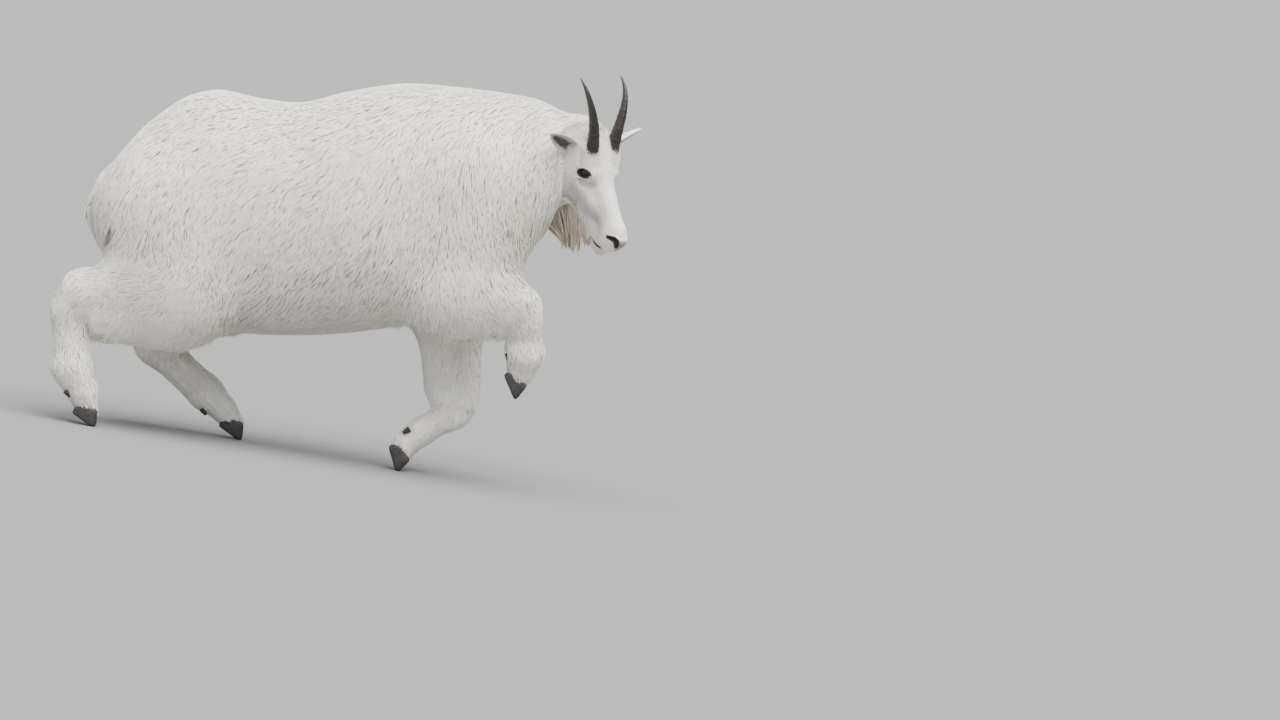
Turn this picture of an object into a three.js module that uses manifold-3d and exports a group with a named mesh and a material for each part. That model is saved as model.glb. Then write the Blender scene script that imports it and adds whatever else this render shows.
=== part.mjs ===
// A mountain goat, life size, in short summer coat: one foreleg lifted, head turned to its right.
// Millimetres, +Z up, +X toward the head, +Y to the animal's left. The flesh nodes reach out to
// the tips of the coat; the coat depth of each mass is kept beside its size.
import * as THREE from 'three';
import { mergeVertices } from 'three/addons/utils/BufferGeometryUtils.js';
import Module from 'manifold-3d';

const wasm = await Module();
wasm.setup();

// ---------------------------------------------------------------- driving dimensions
const LEVEL = 9.5;                 // degrees the body is tipped nose-up to set three feet level
const FLOOR_DROP = 25.7;        // floor height below the body's own origin, after that tip
const ORIGIN = [-68.3, 0.5];       // centre of the footprint, after that tip
const GAP = 0.4;                   // clearance between neighbouring pieces
const HEAD_AT = [634.8, -88, 728]; // midway between the horn bases
const HEAD_PITCH = 68, HEAD_YAW = 45;     // face line below level, turn to the right
const HORN = { base: [0, -8, 34.5], root: 26, length: 188, radius: 15.2, tip: 1.2, rise: 38, sweep: 58, splay: 0.28 };
const EAR = { root: [-18, -50, 48], lean: [-0.28, 0.34, 0.90], length: 112, half: 21, cup: 15, thick: 9 };
const EAR_OPEN = { right: [0.80, 0.46, 0], left: [0.95, 0.08, 0] };   // the way each cup faces
const EYE = { at: [43, -38, 41], radius: 15 };
const HOOF = { sole: 62, height: 40, width: 22, cleft: 3 };
const DEWCLAW = { length: 20, radius: 8.5 };
const CELL = { trunk: 55, neck: 36, head: 22, beard: 26, tail: 22, hind: 36, fore: 32 };   // facet sizes

// x, height of back, height of belly, half width, centre line
const TRUNK = [
  [-590, 700, 410, 106, 0],
  [-520, 742, 384, 130, 0],
  [-440, 800, 350, 146, 0],
  [-372, 846, 315, 156, 0],
  [-300, 866, 290, 159, 0],
  [-187, 846, 278, 162, 0],
  [-96, 836, 276, 169, 0],
  [24, 862, 282, 172, 0],
  [156, 881, 300, 160, 0],
  [276, 874, 320, 140, 0],
  [384, 861, 388, 117, -8],
  [470, 846, 500, 96, -20],
  [540, 816, 588, 80, -32],
  [610, 778, 650, 64, -38],
];
const TRUNK_ENDS = { rear: -440, rearLength: 150, front: 500, frontLength: 98 };

// name, start, end, start radius, end radius, side-to-side scale, coat depth, blend
const LIMBS = [
  ['thigh_R', [-420, -80, 573], [-389, -98, 406], 118, 116, 0.6, 20, 70],
  ['gaskin_R', [-394, -104, 385], [-595, -122, 387], 114, 56, 0.55, 18, 45],
  ['fringe_R', [-403, -118, 352], [-547, -124, 322], 92, 58, 0.42, 34, 30],
  ['hock_R', [-610, -122, 391], [-638, -126, 363], 50, 38, 0.78, 12, 22],
  ['cannon_h_R', [-646, -128, 344], [-634, -138, 219], 36, 47, 0.7, 13, 24],
  ['fetlock_h_R', [-636, -138, 210], [-610, -142, 159], 46, 37, 0.85, 9, 18],
  ['thigh_L', [-408, 80, 559], [-283, 98, 425], 118, 108, 0.6, 20, 70],
  ['gaskin_L', [-274, 104, 405], [-451, 112, 270], 104, 52, 0.58, 18, 45],
  ['hock_L', [-446, 112, 270], [-446, 112, 246], 50, 44, 0.78, 12, 22],
  ['cannon_h_L', [-446, 112, 241], [-329, 112, 130], 42, 42, 0.74, 11, 22],
  ['fetlock_h_L', [-326, 112, 128], [-286, 112, 89], 40, 32, 0.9, 8, 18],
  ['shoulder_R', [312, -80, 657], [312, -92, 442], 120, 96, 0.58, 18, 70],
  ['forearm_R', [269, -98, 389], [437, -116, 352], 92, 50, 0.66, 16, 45],
  ['fringe_f_R', [307, -104, 342], [379, -110, 328], 70, 50, 0.45, 30, 26],
  ['knee_R', [439, -116, 357], [446, -114, 323], 38, 34, 0.9, 7, 18],
  ['cannon_f_R', [446, -114, 318], [446, -106, 245], 34, 45, 0.74, 10, 20],
  ['fetlock_f_R', [444, -105, 240], [437, -100, 201], 44, 32, 0.85, 8, 16],
  ['shoulder_L', [312, 80, 643], [298, 88, 431], 120, 96, 0.58, 18, 70],
  ['forearm_L', [264, 86, 354], [269, 50, 159], 84, 70, 0.66, 24, 45],
  ['knee_L', [278, 44, 126], [276, 38, 98], 62, 48, 0.76, 16, 22],
  ['cannon_f_L', [264, 34, 81], [192, 16, 42], 36, 33, 0.86, 8, 18],
  ['fetlock_f_L', [192, 16, 42], [158, 8, 16], 33, 30, 0.95, 7, 16],
  ['tail', [-542, 0, 646], [-581, 0, 573], 34, 31, 1.0, 16, 20],
  ['tail_tip', [-583, 0, 569], [-571, 0, 496], 27, 8, 1.0, 16, 12],
];
// hair alone: beard, jowl and cheek ruff
const RUFFS = [
  ['beard', [542, -8, 569], [545, -10, 507], 62, 46, 0.7, 26],
  ['beard_tip', [538, -8, 511], [569, -14, 469], 42, 16, 0.7, 20],
  ['jowl', [509, -20, 604], [518, -8, 516], 62, 34, 0.8, 30],
  ['jaw_hair', [557, -30, 581], [600, -60, 502], 44, 16, 0.8, 20],
  ['cheek_hair', [542, -52, 691], [542, -36, 593], 46, 50, 0.85, 34],
];
// head masses, mirrored in the third number: ball [centre, radii, coat, blend] or bar [start, end, start radius, end radius, side scale, coat, blend]
const HEAD = [
  ['cranium', 'ball', [-28, -52, 0], [60, 53, 50], 8, 20],
  ['poll', 'ball', [-30, -22, 0], [26, 17, 24], 14, 20],
  ['forehead', 'ball', [18, -46, 0], [56, 40, 46], 4, 20],
  ['brow', 'ball', [36, -33, 32], [26, 15, 17], 4, 16],
  ['orbit', 'ball', [48, -40, 37], [26, 22, 16], 3, 14],
  ['nasal', 'bar', [60, -56, 0], [190, -42, 0], 40, 26, 0.86, 3, 20],
  ['cheek_bone', 'bar', [64, -66, 30], [120, -60, 20], 20, 16, 1.0, 4, 22],
  ['muzzle', 'ball', [203, -50, 0], [31, 32, 27], 3, 18],
  ['nose', 'ball', [223, -37, 0], [12, 17, 19], 1.5, 10],
  ['upper_lip', 'ball', [214, -62, 9], [19, 16, 19], 2.5, 12],
  ['jaw', 'bar', [40, -108, 16], [190, -93, 0], 30, 21, 1.0, 6, 22],
  ['chin', 'ball', [212, -98, 0], [20, 16, 18], 4, 14],
  ['masseter', 'ball', [36, -88, 30], [50, 46, 28], 6, 24],
  ['throat', 'bar', [-30, -92, 0], [50, -128, 0], 62, 36, 0.9, 18, 36],
  ['crown', 'ball', [6, -20, 28], [20, 12, 16], 14, 14],
];

// each foot: tip of the toe, the angle of the sole below level, and the dewclaws: how far behind
// the heel and above the sole they sit, and the way they point (along the sole, away from it)
const FEET = {
  hind_right: { toe: [-581, -142, 67], sole: 36, dew: [-38, 32], dewAim: [0.94, -0.34] },
  hind_left: { toe: [-245, 112, 11], sole: 36, dew: [-52, 8], dewAim: [0.94, -0.34] },
  fore_right: { toe: [420, -98, 131], sole: 67, dew: [-40, 27], dewAim: [0.94, -0.34] },
  fore_left: { toe: [134, 4, -53], sole: 74, dew: [-29, 52], dewAim: [0.28, -0.96] },
};

// ---------------------------------------------------------------- small vector helpers
const rad = THREE.MathUtils.degToRad;
const V = (x, y, z) => new THREE.Vector3(x, y, z);
const clamp = THREE.MathUtils.clamp;

// head frame: u down the face, v out of the forehead, w to the animal's left
const cp = Math.cos(rad(HEAD_PITCH)), sp = Math.sin(rad(HEAD_PITCH));
const cy = Math.cos(rad(HEAD_YAW)), sy = Math.sin(rad(HEAD_YAW));
const U = V(cp * cy, -cp * sy, -sp), VV = V(sp * cy, -sp * sy, cp), W = V(sy, cy, 0);
const headPoint = (u, v, w) => V(...HEAD_AT).addScaledVector(U, u).addScaledVector(VV, v).addScaledVector(W, w);
const headDir = (u, v, w) => V(0, 0, 0).addScaledVector(U, u).addScaledVector(VV, v).addScaledVector(W, w).normalize();

// ---------------------------------------------------------------- the body as a distance-like field
function smooth(a, b, k) {
  const h = clamp(0.5 + 0.5 * (b - a) / k, 0, 1);
  return b * (1 - h) + a * h - k * h * (1 - h);
}
function bar(x, y, z, a, b, ra, rb, s, axis) {
  const bx = b[0] - a[0], by = b[1] - a[1], bz = b[2] - a[2];
  const t = clamp(((x - a[0]) * bx + (y - a[1]) * by + (z - a[2]) * bz) / (bx * bx + by * by + bz * bz), 0, 1);
  const q = [x - a[0] - t * bx, y - a[1] - t * by, z - a[2] - t * bz];
  q[axis] /= s;
  return (Math.hypot(q[0], q[1], q[2]) - ra - (rb - ra) * t) * Math.min(1, s);
}
function ball(x, y, z, c, r) {
  const q = [x - c[0], y - c[1], z - c[2]];
  const k0 = Math.hypot(q[0] / r[0], q[1] / r[1], q[2] / r[2]) + 1e-9;
  const k1 = Math.hypot(q[0] / r[0] ** 2, q[1] / r[1] ** 2, q[2] / r[2] ** 2) + 1e-9;
  return k0 * (k0 - 1) / k1;
}
// smooth curve through one column of the trunk table
function column(n) {
  const xs = TRUNK.map(t => t[0]), ys = TRUNK.map(t => t[n]), m = [];
  const d = xs.slice(1).map((x, i) => (ys[i + 1] - ys[i]) / (x - xs[i]));
  for (let i = 0; i < xs.length; i++) {
    if (i === 0) m.push(d[0]);
    else if (i === xs.length - 1) m.push(d[i - 1]);
    else m.push((d[i - 1] * (xs[i + 1] - xs[i]) + d[i] * (xs[i] - xs[i - 1])) / (xs[i + 1] - xs[i - 1]));
  }
  return x => {
    x = clamp(x, xs[0], xs[xs.length - 1]);
    let i = 0;
    while (i < xs.length - 2 && x > xs[i + 1]) i++;
    const h = xs[i + 1] - xs[i], t = (x - xs[i]) / h;
    return (2 * t ** 3 - 3 * t * t + 1) * ys[i] + (t ** 3 - 2 * t * t + t) * h * m[i]
      + (3 * t * t - 2 * t ** 3) * ys[i + 1] + (t ** 3 - t * t) * h * m[i + 1];
  };
}
const back = column(1), belly = column(2), half = column(3), midline = column(4);
function trunkField(x, y, z) {
  const top = back(x), bot = belly(x), w = half(x);
  const c = bot + (top - bot) * 0.56, hz = z > c ? top - c : c - bot;
  const taper = 1 - 0.22 * clamp((z - c) / hz, -1, 1);
  let rho = ((Math.abs(y - midline(x)) / (w * taper)) ** 2.25 + (Math.abs(z - c) / hz) ** 2.25) ** (1 / 2.25);
  const e = x < TRUNK_ENDS.rear ? (TRUNK_ENDS.rear - x) / TRUNK_ENDS.rearLength
    : x > TRUNK_ENDS.front ? (x - TRUNK_ENDS.front) / TRUNK_ENDS.frontLength : 0;
  rho = Math.hypot(rho, e);
  return (rho - 1) * Math.min(w, hz, 160) * 0.9;
}
function headField(x, y, z) {
  const p = V(x - HEAD_AT[0], y - HEAD_AT[1], z - HEAD_AT[2]);
  const u = p.dot(U), v = p.dot(VV), w = Math.abs(p.dot(W));
  let f = Infinity;
  for (const [, kind, ...m] of HEAD) {
    let d, k;
    if (kind === 'ball') {
      const [c, r, coat] = m; k = m[3];
      d = ball(u, v, w, c, r.map(n => n + coat));
    } else {
      const [a, b, ra, rb, s, coat] = m; k = m[6];
      d = bar(u, v, w, a, b, ra + coat, rb + coat, s, 2);
    }
    f = f === Infinity ? d : smooth(f, d, k);
  }
  return f;
}
function bodyField(x, y, z) {
  let f = trunkField(x, y, z);
  for (const [, a, b, ra, rb, s, , k] of LIMBS) f = smooth(f, bar(x, y, z, a, b, ra, rb, s, 1), k);
  f = smooth(f, headField(x, y, z), 34);
  for (const [, a, b, ra, rb, s, k] of RUFFS) f = smooth(f, bar(x, y, z, a, b, ra, rb, s, 1), k);
  return f;
}

// ---------------------------------------------------------------- faceted skin of a field inside a box
function skinOf(field, from, to, cell) {
  const axis = n => {
    const count = Math.ceil((to[n] - from[n]) / cell[n]) + 3;
    return Array.from({ length: count }, (_, i) => from[n] + (i - 1) * cell[n]);
  };
  const g = [axis(0), axis(1), axis(2)], [nx, ny, nz] = g.map(a => a.length);
  const at = (i, j, k) => (i * ny + j) * nz + k;
  const f = new Float64Array(nx * ny * nz);
  for (let i = 0; i < nx; i++) for (let j = 0; j < ny; j++) for (let k = 0; k < nz; k++) {
    const edge = i === 0 || j === 0 || k === 0 || i === nx - 1 || j === ny - 1 || k === nz - 1;
    f[at(i, j, k)] = edge ? Math.max(8, Math.abs(field(g[0][i], g[1][j], g[2][k]))) : field(g[0][i], g[1][j], g[2][k]);
  }
  const corner = [[0, 0, 0], [1, 0, 0], [0, 1, 0], [1, 1, 0], [0, 0, 1], [1, 0, 1], [0, 1, 1], [1, 1, 1]];
  const edges = [];
  for (let a = 0; a < 8; a++) for (const bit of [1, 2, 4]) if (!(a & bit)) edges.push([a, a | bit]);
  const id = new Map(), points = [];
  const e = 0.5;
  for (let i = 0; i < nx - 1; i++) for (let j = 0; j < ny - 1; j++) for (let k = 0; k < nz - 1; k++) {
    const val = corner.map(c => f[at(i + c[0], j + c[1], k + c[2])]);
    let s = [0, 0, 0], n = 0;
    for (const [a, b] of edges) {
      if ((val[a] < 0) === (val[b] < 0)) continue;
      const t = val[a] / (val[a] - val[b]);
      for (let m = 0; m < 3; m++) {
        const ia = [i, j, k][m] + corner[a][m], ib = [i, j, k][m] + corner[b][m];
        s[m] += g[m][ia] * (1 - t) + g[m][ib] * t;
      }
      n++;
    }
    if (!n) continue;
    let p = s.map(q => q / n);
    const inner = i > 0 && j > 0 && k > 0 && i < nx - 2 && j < ny - 2 && k < nz - 2;
    for (let it = 0; inner && it < 2; it++) {
      const d = field(...p);
      const gr = [0, 1, 2].map(m => {
        const hi = [...p], lo = [...p]; hi[m] += e; lo[m] -= e;
        return (field(...hi) - field(...lo)) / (2 * e);
      });
      const g2 = Math.max(gr[0] ** 2 + gr[1] ** 2 + gr[2] ** 2, 0.05);
      const lim = 0.3 * Math.min(...cell);
      p = p.map((q, m) => q - clamp(d * gr[m] / g2, -lim, lim));
    }
    id.set(at(i, j, k), points.length);
    points.push(p);
  }
  const tri = [];
  const quad = (a, b, c, d, flip) => {
    if (flip) [b, d] = [d, b];
    const L = (m, n) => Math.hypot(points[m][0] - points[n][0], points[m][1] - points[n][1], points[m][2] - points[n][2]);
    if (L(a, c) < L(b, d)) tri.push(a, b, c, a, c, d); else tri.push(a, b, d, b, c, d);
  };
  for (let i = 0; i < nx - 1; i++) for (let j = 0; j < ny - 1; j++) for (let k = 0; k < nz - 1; k++) {
    const v0 = f[at(i, j, k)] < 0;
    if (j && k && v0 !== f[at(i + 1, j, k)] < 0) quad(id.get(at(i, j - 1, k - 1)), id.get(at(i, j, k - 1)), id.get(at(i, j, k)), id.get(at(i, j - 1, k)), !v0);
    if (i && k && v0 !== f[at(i, j + 1, k)] < 0) quad(id.get(at(i - 1, j, k - 1)), id.get(at(i - 1, j, k)), id.get(at(i, j, k)), id.get(at(i, j, k - 1)), !v0);
    if (i && j && v0 !== f[at(i, j, k + 1)] < 0) quad(id.get(at(i - 1, j - 1, k)), id.get(at(i, j - 1, k)), id.get(at(i, j, k)), id.get(at(i - 1, j, k)), !v0);
  }
  return new wasm.Manifold(new wasm.Mesh({ numProp: 3, vertProperties: new Float32Array(points.flat()), triVerts: new Uint32Array(tri) }));
}

// ---------------------------------------------------------------- solids from three.js geometries
function solid(geometry) {
  let g = geometry.index ? geometry : geometry.clone();
  for (const name of Object.keys(g.attributes)) if (name !== 'position') g.deleteAttribute(name);
  g = mergeVertices(g, 1e-4);
  return new wasm.Manifold(new wasm.Mesh({ numProp: 3, vertProperties: new Float32Array(g.attributes.position.array), triVerts: new Uint32Array(g.index.array) }));
}
// a side-view outline in x and z, drawn out sideways from y0 to y1
function prism(outline, y0, y1) {
  const shape = new THREE.Shape(outline.map(([x, z]) => new THREE.Vector2(x, z)));
  const g = new THREE.ExtrudeGeometry(shape, { depth: y1 - y0, bevelEnabled: false, steps: 1 });
  g.applyMatrix4(new THREE.Matrix4().makeBasis(V(1, 0, 0), V(0, 0, 1), V(0, -1, 0)));
  g.translate(0, y1, 0);
  return solid(g);
}
// a large block with one face through a point, on the far side of it
function beyond(point, normal) {
  const g = new THREE.BoxGeometry(3000, 3000, 3000);
  g.translate(0, 0, 1500);
  g.applyQuaternion(new THREE.Quaternion().setFromUnitVectors(V(0, 0, 1), normal.clone().normalize()));
  g.translate(point.x, point.y, point.z);
  return solid(g);
}
// signed volume of the triangles of an indexed mesh
function volume(p, tri) {
  let v = 0;
  for (let i = 0; i < tri.length; i += 3) {
    const [a, b, c] = [0, 1, 2].map(m => tri[i + m] * 3);
    v += p[a] * (p[b + 1] * p[c + 2] - p[b + 2] * p[c + 1]) - p[a + 1] * (p[b] * p[c + 2] - p[b + 2] * p[c])
      + p[a + 2] * (p[b] * p[c + 1] - p[b + 1] * p[c]);
  }
  return v / 6;
}
// the biggest connected body of a solid, when a cut leaves crumbs beside it
function largest(m) {
  const mesh = m.getMesh(), tri = mesh.triVerts, p = mesh.vertProperties, count = tri.length / 3;
  const up = Array.from({ length: count }, (_, i) => i), edges = new Map();
  const find = i => { while (up[i] !== i) i = up[i] = up[up[i]]; return i; };
  for (let t = 0; t < count; t++) for (let e = 0; e < 3; e++) {
    const a = tri[3 * t + e], b = tri[3 * t + (e + 1) % 3], key = Math.min(a, b) * 1e6 + Math.max(a, b);
    if (edges.has(key)) up[find(t)] = find(edges.get(key)); else edges.set(key, t);
  }
  const bodies = new Map();
  for (let t = 0; t < count; t++) {
    const k = find(t);
    if (!bodies.has(k)) bodies.set(k, []);
    bodies.get(k).push(tri[3 * t], tri[3 * t + 1], tri[3 * t + 2]);
  }
  if (bodies.size === 1) return m;
  const best = [...bodies.values()].sort((a, b) => volume(p, b) - volume(p, a))[0];
  return new wasm.Manifold(new wasm.Mesh({ numProp: 3, vertProperties: p, triVerts: new Uint32Array(best) }));
}
function ringSolid(rings) {
  const n = rings[0].length, pts = rings.flat(), tri = [];
  const first = pts.length, last = first + 1;
  const mean = r => r.reduce((s, p) => s.add(p), V(0, 0, 0)).multiplyScalar(1 / n);
  pts.push(mean(rings[0]), mean(rings[rings.length - 1]));
  for (let i = 0; i < rings.length - 1; i++) for (let j = 0; j < n; j++) {
    const a = i * n + j, b = i * n + (j + 1) % n;
    tri.push(a, b, b + n, a, b + n, a + n);
  }
  const o = (rings.length - 1) * n;
  for (let j = 0; j < n; j++) tri.push(first, (j + 1) % n, j, last, o + j, o + (j + 1) % n);
  const g = new THREE.BufferGeometry();
  g.setAttribute('position', new THREE.BufferAttribute(new Float32Array(pts.flatMap(p => [p.x, p.y, p.z])), 3));
  const out = volume(g.attributes.position.array, tri) > 0;
  g.setIndex(out ? tri : tri.map((_, i) => tri[i - i % 3 + [0, 2, 1][i % 3]]));
  return solid(g);
}

// ---------------------------------------------------------------- horns, ears, eyes
function horn(side, grow) {
  const n = 11, rings = [];
  let p = [HORN.base[0], HORN.base[1], HORN.base[2] * side];
  const step = t => {
    const a = rad(HORN.rise - HORN.sweep * t ** 2.2), d = [-Math.cos(a), Math.sin(a), HORN.splay * side * Math.sin(Math.PI * t)];
    const l = Math.hypot(...d);
    return d.map(q => q / l);
  };
  const ring = (c, d, r) => {
    const dir = headDir(...d), s = V(0, 0, 0).crossVectors(dir, W).normalize(), q = V(0, 0, 0).crossVectors(dir, s);
    return Array.from({ length: 9 }, (_, j) => {
      const a = 2 * Math.PI * j / 9;
      return headPoint(...c).addScaledVector(s, (r + grow) * 1.08 * Math.cos(a)).addScaledVector(q, (r + grow) * 0.95 * Math.sin(a));
    });
  };
  const d0 = step(0);
  rings.push(ring(p.map((q, m) => q - d0[m] * (HORN.root + grow)), d0, HORN.radius));
  const radius = t => HORN.radius * (1 - t) ** 0.75 + HORN.tip;
  for (let i = 0; i <= n; i++) {
    const t = i / n, d = step(t);
    rings.push(ring(p, d, radius(t)));
    p = p.map((q, m) => q + d[m] * HORN.length / n);
  }
  return ringSolid(rings);
}
function ear(side, open, grow) {
  const dir = headDir(EAR.lean[0], EAR.lean[1], EAR.lean[2] * side);
  const face = headDir(...open);
  face.addScaledVector(dir, -face.dot(dir)).normalize();
  const across = V(0, 0, 0).crossVectors(face, dir);
  const root = headPoint(EAR.root[0], EAR.root[1], EAR.root[2] * side), rings = [];
  const n = 7, m = 5;
  for (let i = 0; i <= n; i++) {
    const t = i / n, wide = EAR.half * Math.sin(Math.PI * (0.14 + 0.83 * t) ** 0.9) ** 0.7, over = 1 + grow / wide;
    const cup = EAR.cup * (1 - t) ** 0.6 + 2, th = EAR.thick * (1 - 0.5 * t) / 2;
    const c = root.clone().addScaledVector(dir, EAR.length * t - (i ? 0 : grow)), ring = [];
    const edge = (j, s) => { const q = (-1 + 2 * j / m) * over; ring.push([q * wide, cup * (q * q - 0.5) + s * (th * (1 - 0.6 * q * q / over ** 2) + 1.8 * grow)]); };
    for (let j = 0; j <= m; j++) edge(j, 1);
    for (let j = m; j >= 0; j--) edge(j, -1);
    rings.push(ring.map(([y, z]) => c.clone().addScaledVector(across, y).addScaledVector(face, z)));
  }
  return ringSolid(rings);
}
function eyeball(side, radius) {
  const g = new THREE.SphereGeometry(radius, 12, 7);
  g.translate(...headPoint(EYE.at[0], EYE.at[1], EYE.at[2] * side).toArray());
  return solid(g);
}
function eyeOpening(side) {
  const g = new THREE.CylinderGeometry(EYE.radius + GAP + 3, EYE.radius + GAP, 30, 14);
  g.translate(0, 15, 0);
  g.applyQuaternion(new THREE.Quaternion().setFromUnitVectors(V(0, 1, 0), headDir(0.1, 0.1, side)));
  g.translate(...headPoint(EYE.at[0], EYE.at[1], EYE.at[2] * side).toArray());
  return solid(g);
}

// ---------------------------------------------------------------- feet
const level = new THREE.Matrix4().makeRotationY(-rad(LEVEL));
level.premultiply(new THREE.Matrix4().makeTranslation(-ORIGIN[0], -ORIGIN[1], FLOOR_DROP));
const ground = (() => {
  const g = new THREE.BoxGeometry(4000, 4000, 1000);
  g.translate(0, 0, -500);
  g.applyMatrix4(level.clone().invert());
  return solid(g);
})();
// side outline of one claw: along the sole from the heel, and up from it
const CLAW = [[0, 0], [0.87, 0], [0.97, 0.10], [0.86, 0.52], [0.66, 1], [0.10, 0.86], [-0.08, 0.42], [-0.07, 0.12]];
function footFrame(foot) {
  const a = rad(foot.sole), s = V(Math.cos(a), 0, -Math.sin(a)), n = V(Math.sin(a), 0, Math.cos(a));
  return { s, n, heel: V(...foot.toe).addScaledVector(s, -0.97 * HOOF.sole) };
}
function claw(foot, side, grow) {
  const { s, n, heel } = footFrame(foot);
  const mid = [0.40, 0.45];
  const slices = [[0, 0.98], [0.35, 1], [0.75, 0.96], [1, 0.76]];
  return ringSolid(slices.map(([t, k], i) => CLAW.map(([a, h]) => {
    const along = (mid[0] + (a - mid[0]) * k) * HOOF.sole, up = (mid[1] + (h - mid[1]) * k) * HOOF.height;
    const ga = a > mid[0] ? grow : -grow, gh = h > mid[1] ? grow : -grow;
    const y = side * (HOOF.cleft / 2 + t * HOOF.width) + side * (i === 0 ? -grow : i === 3 ? grow : 0);
    return heel.clone().addScaledVector(s, along + ga).addScaledVector(n, up + gh).add(V(0, y, 0));
  })));
}
// two small claws high on the back of the pastern
function dewclaw(foot, side, grow) {
  const { s, n, heel } = footFrame(foot);
  const c = heel.clone().addScaledVector(s, foot.dew[0]).addScaledVector(n, foot.dew[1]).add(V(0, side * 17, 0));
  const g = new THREE.CylinderGeometry(DEWCLAW.radius * 0.5 + grow, DEWCLAW.radius + grow, DEWCLAW.length + 2 * grow, 8);
  g.applyQuaternion(new THREE.Quaternion().setFromUnitVectors(V(0, 1, 0), s.clone().multiplyScalar(foot.dewAim[0]).addScaledVector(n, foot.dewAim[1]).normalize()));
  g.translate(c.x, c.y, c.z);
  return solid(g);
}

// ---------------------------------------------------------------- parting the body
const cells = c => [c, c, c];
const HIND_CUT = [[-900, -300], [-200, -300], [-236, 300], [-330, 478], [-900, 478]];
const FORE_CUT = [[150, -300], [900, -300], [900, 404], [470, 414], [236, 424], [186, 350], [150, 280]];
const FORE_LOW = [[60, -300], [900, -300], [900, 300], [236, 300], [206, 210], [60, 200]];
const BEARD_CUT = [[470, 440], [620, 440], [607, 478], [566, 566], [510, 566], [484, 520]];
const TAIL_CUT = [[-800, 660], [-800, 440], [-560, 440], [-566, 560], [-545, 620], [-528, 660]];
const grown = (outline, d) => {           // the same outline a little larger
  const c = outline.reduce((s, p) => [s[0] + p[0] / outline.length, s[1] + p[1] / outline.length], [0, 0]);
  const out = [];
  for (let i = 0; i < outline.length; i++) {
    const a = outline[(i + outline.length - 1) % outline.length], b = outline[i], e = outline[(i + 1) % outline.length];
    const nrm = (p, q) => { const l = Math.hypot(q[0] - p[0], q[1] - p[1]); return [(q[1] - p[1]) / l, -(q[0] - p[0]) / l]; };
    let n1 = nrm(a, b), n2 = nrm(b, e);
    const sgn = n1[0] * (b[0] - c[0]) + n1[1] * (b[1] - c[1]) + n2[0] * (b[0] - c[0]) + n2[1] * (b[1] - c[1]) < 0 ? -1 : 1;
    const k = d * sgn / (1 + n1[0] * n2[0] + n1[1] * n2[1]);
    out.push([b[0] + (n1[0] + n2[0]) * k, b[1] + (n1[1] + n2[1]) * k]);
  }
  return out;
};
const nape = V(548, -6, 700), napeWay = V(0.85, -0.45, -0.27).normalize();
const neckBase = V(404, 0, 600), neckWay = V(0.94, 0, 0.34).normalize();

const hindCut = side => g => prism(grown(HIND_CUT, g), side < 0 ? -500 : -g, side < 0 ? g : 500);
const foreCut = side => g => side < 0 ? prism(grown(FORE_CUT, g), -500, -34 + g)
  : prism(grown(FORE_CUT, g), 34 - g, 500).add(prism(grown(FORE_LOW, g), -33.6 - g, 500));
const beardCut = g => prism(grown(BEARD_CUT, g), -140, 120);
const tailCut = g => prism(grown(TAIL_CUT, g), -33 - g, 33 + g);
const headSide = g => beyond(nape.clone().addScaledVector(napeWay, g), napeWay);
const neckSide = g => beyond(neckBase.clone().addScaledVector(neckWay, g), neckWay);

const pieces = {};
{
  // trunk and neck
  const legs = g => hindCut(-1)(g).add(hindCut(1)(g)).add(foreCut(-1)(g)).add(foreCut(1)(g));
  const trunkSkin = skinOf(bodyField, [-700, -250, 210], [560, 250, 920], [CELL.trunk, CELL.trunk * 0.9, CELL.trunk * 0.9]);
  pieces.trunk = largest(trunkSkin.subtract(legs(GAP)).subtract(neckSide(-GAP)).subtract(tailCut(GAP)));
  const neckSkin = skinOf(bodyField, [270, -230, 380], [660, 230, 900], cells(CELL.neck));
  pieces.neck = largest(neckSkin.intersect(neckSide(0)).subtract(headSide(-GAP)).subtract(beardCut(GAP)).subtract(foreCut(-1)(GAP)).subtract(foreCut(1)(GAP)));
  const tailSkin = skinOf(bodyField, [-660, -80, 400], [-480, 80, 720], cells(CELL.tail));
  pieces.tail = largest(tailSkin.intersect(tailCut(0)));
}
{
  // head, with its horns, ears, eyes and beard
  const box = [[424, -240, 420], [760, 140, 860]];
  const rough = skinOf(bodyField, ...box, cells(CELL.head)).intersect(headSide(0)).intersect(neckSide(0)).subtract(beardCut(GAP));
  pieces.beard = largest(skinOf(bodyField, [460, -150, 420], [640, 130, 600], cells(CELL.beard)).intersect(beardCut(0)));
  let head = rough;
  for (const [name, side] of [['right', -1], ['left', 1]]) {
    head = head.subtract(horn(side, GAP)).subtract(eyeball(side, EYE.radius + GAP)).subtract(eyeOpening(side)).subtract(ear(side, EAR_OPEN[name], GAP));
    pieces['horn_' + name] = horn(side, 0);
    pieces['eye_' + name] = eyeball(side, EYE.radius);
    pieces['ear_' + name] = ear(side, EAR_OPEN[name], 0);
  }
  pieces.head = largest(head);
}
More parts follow.
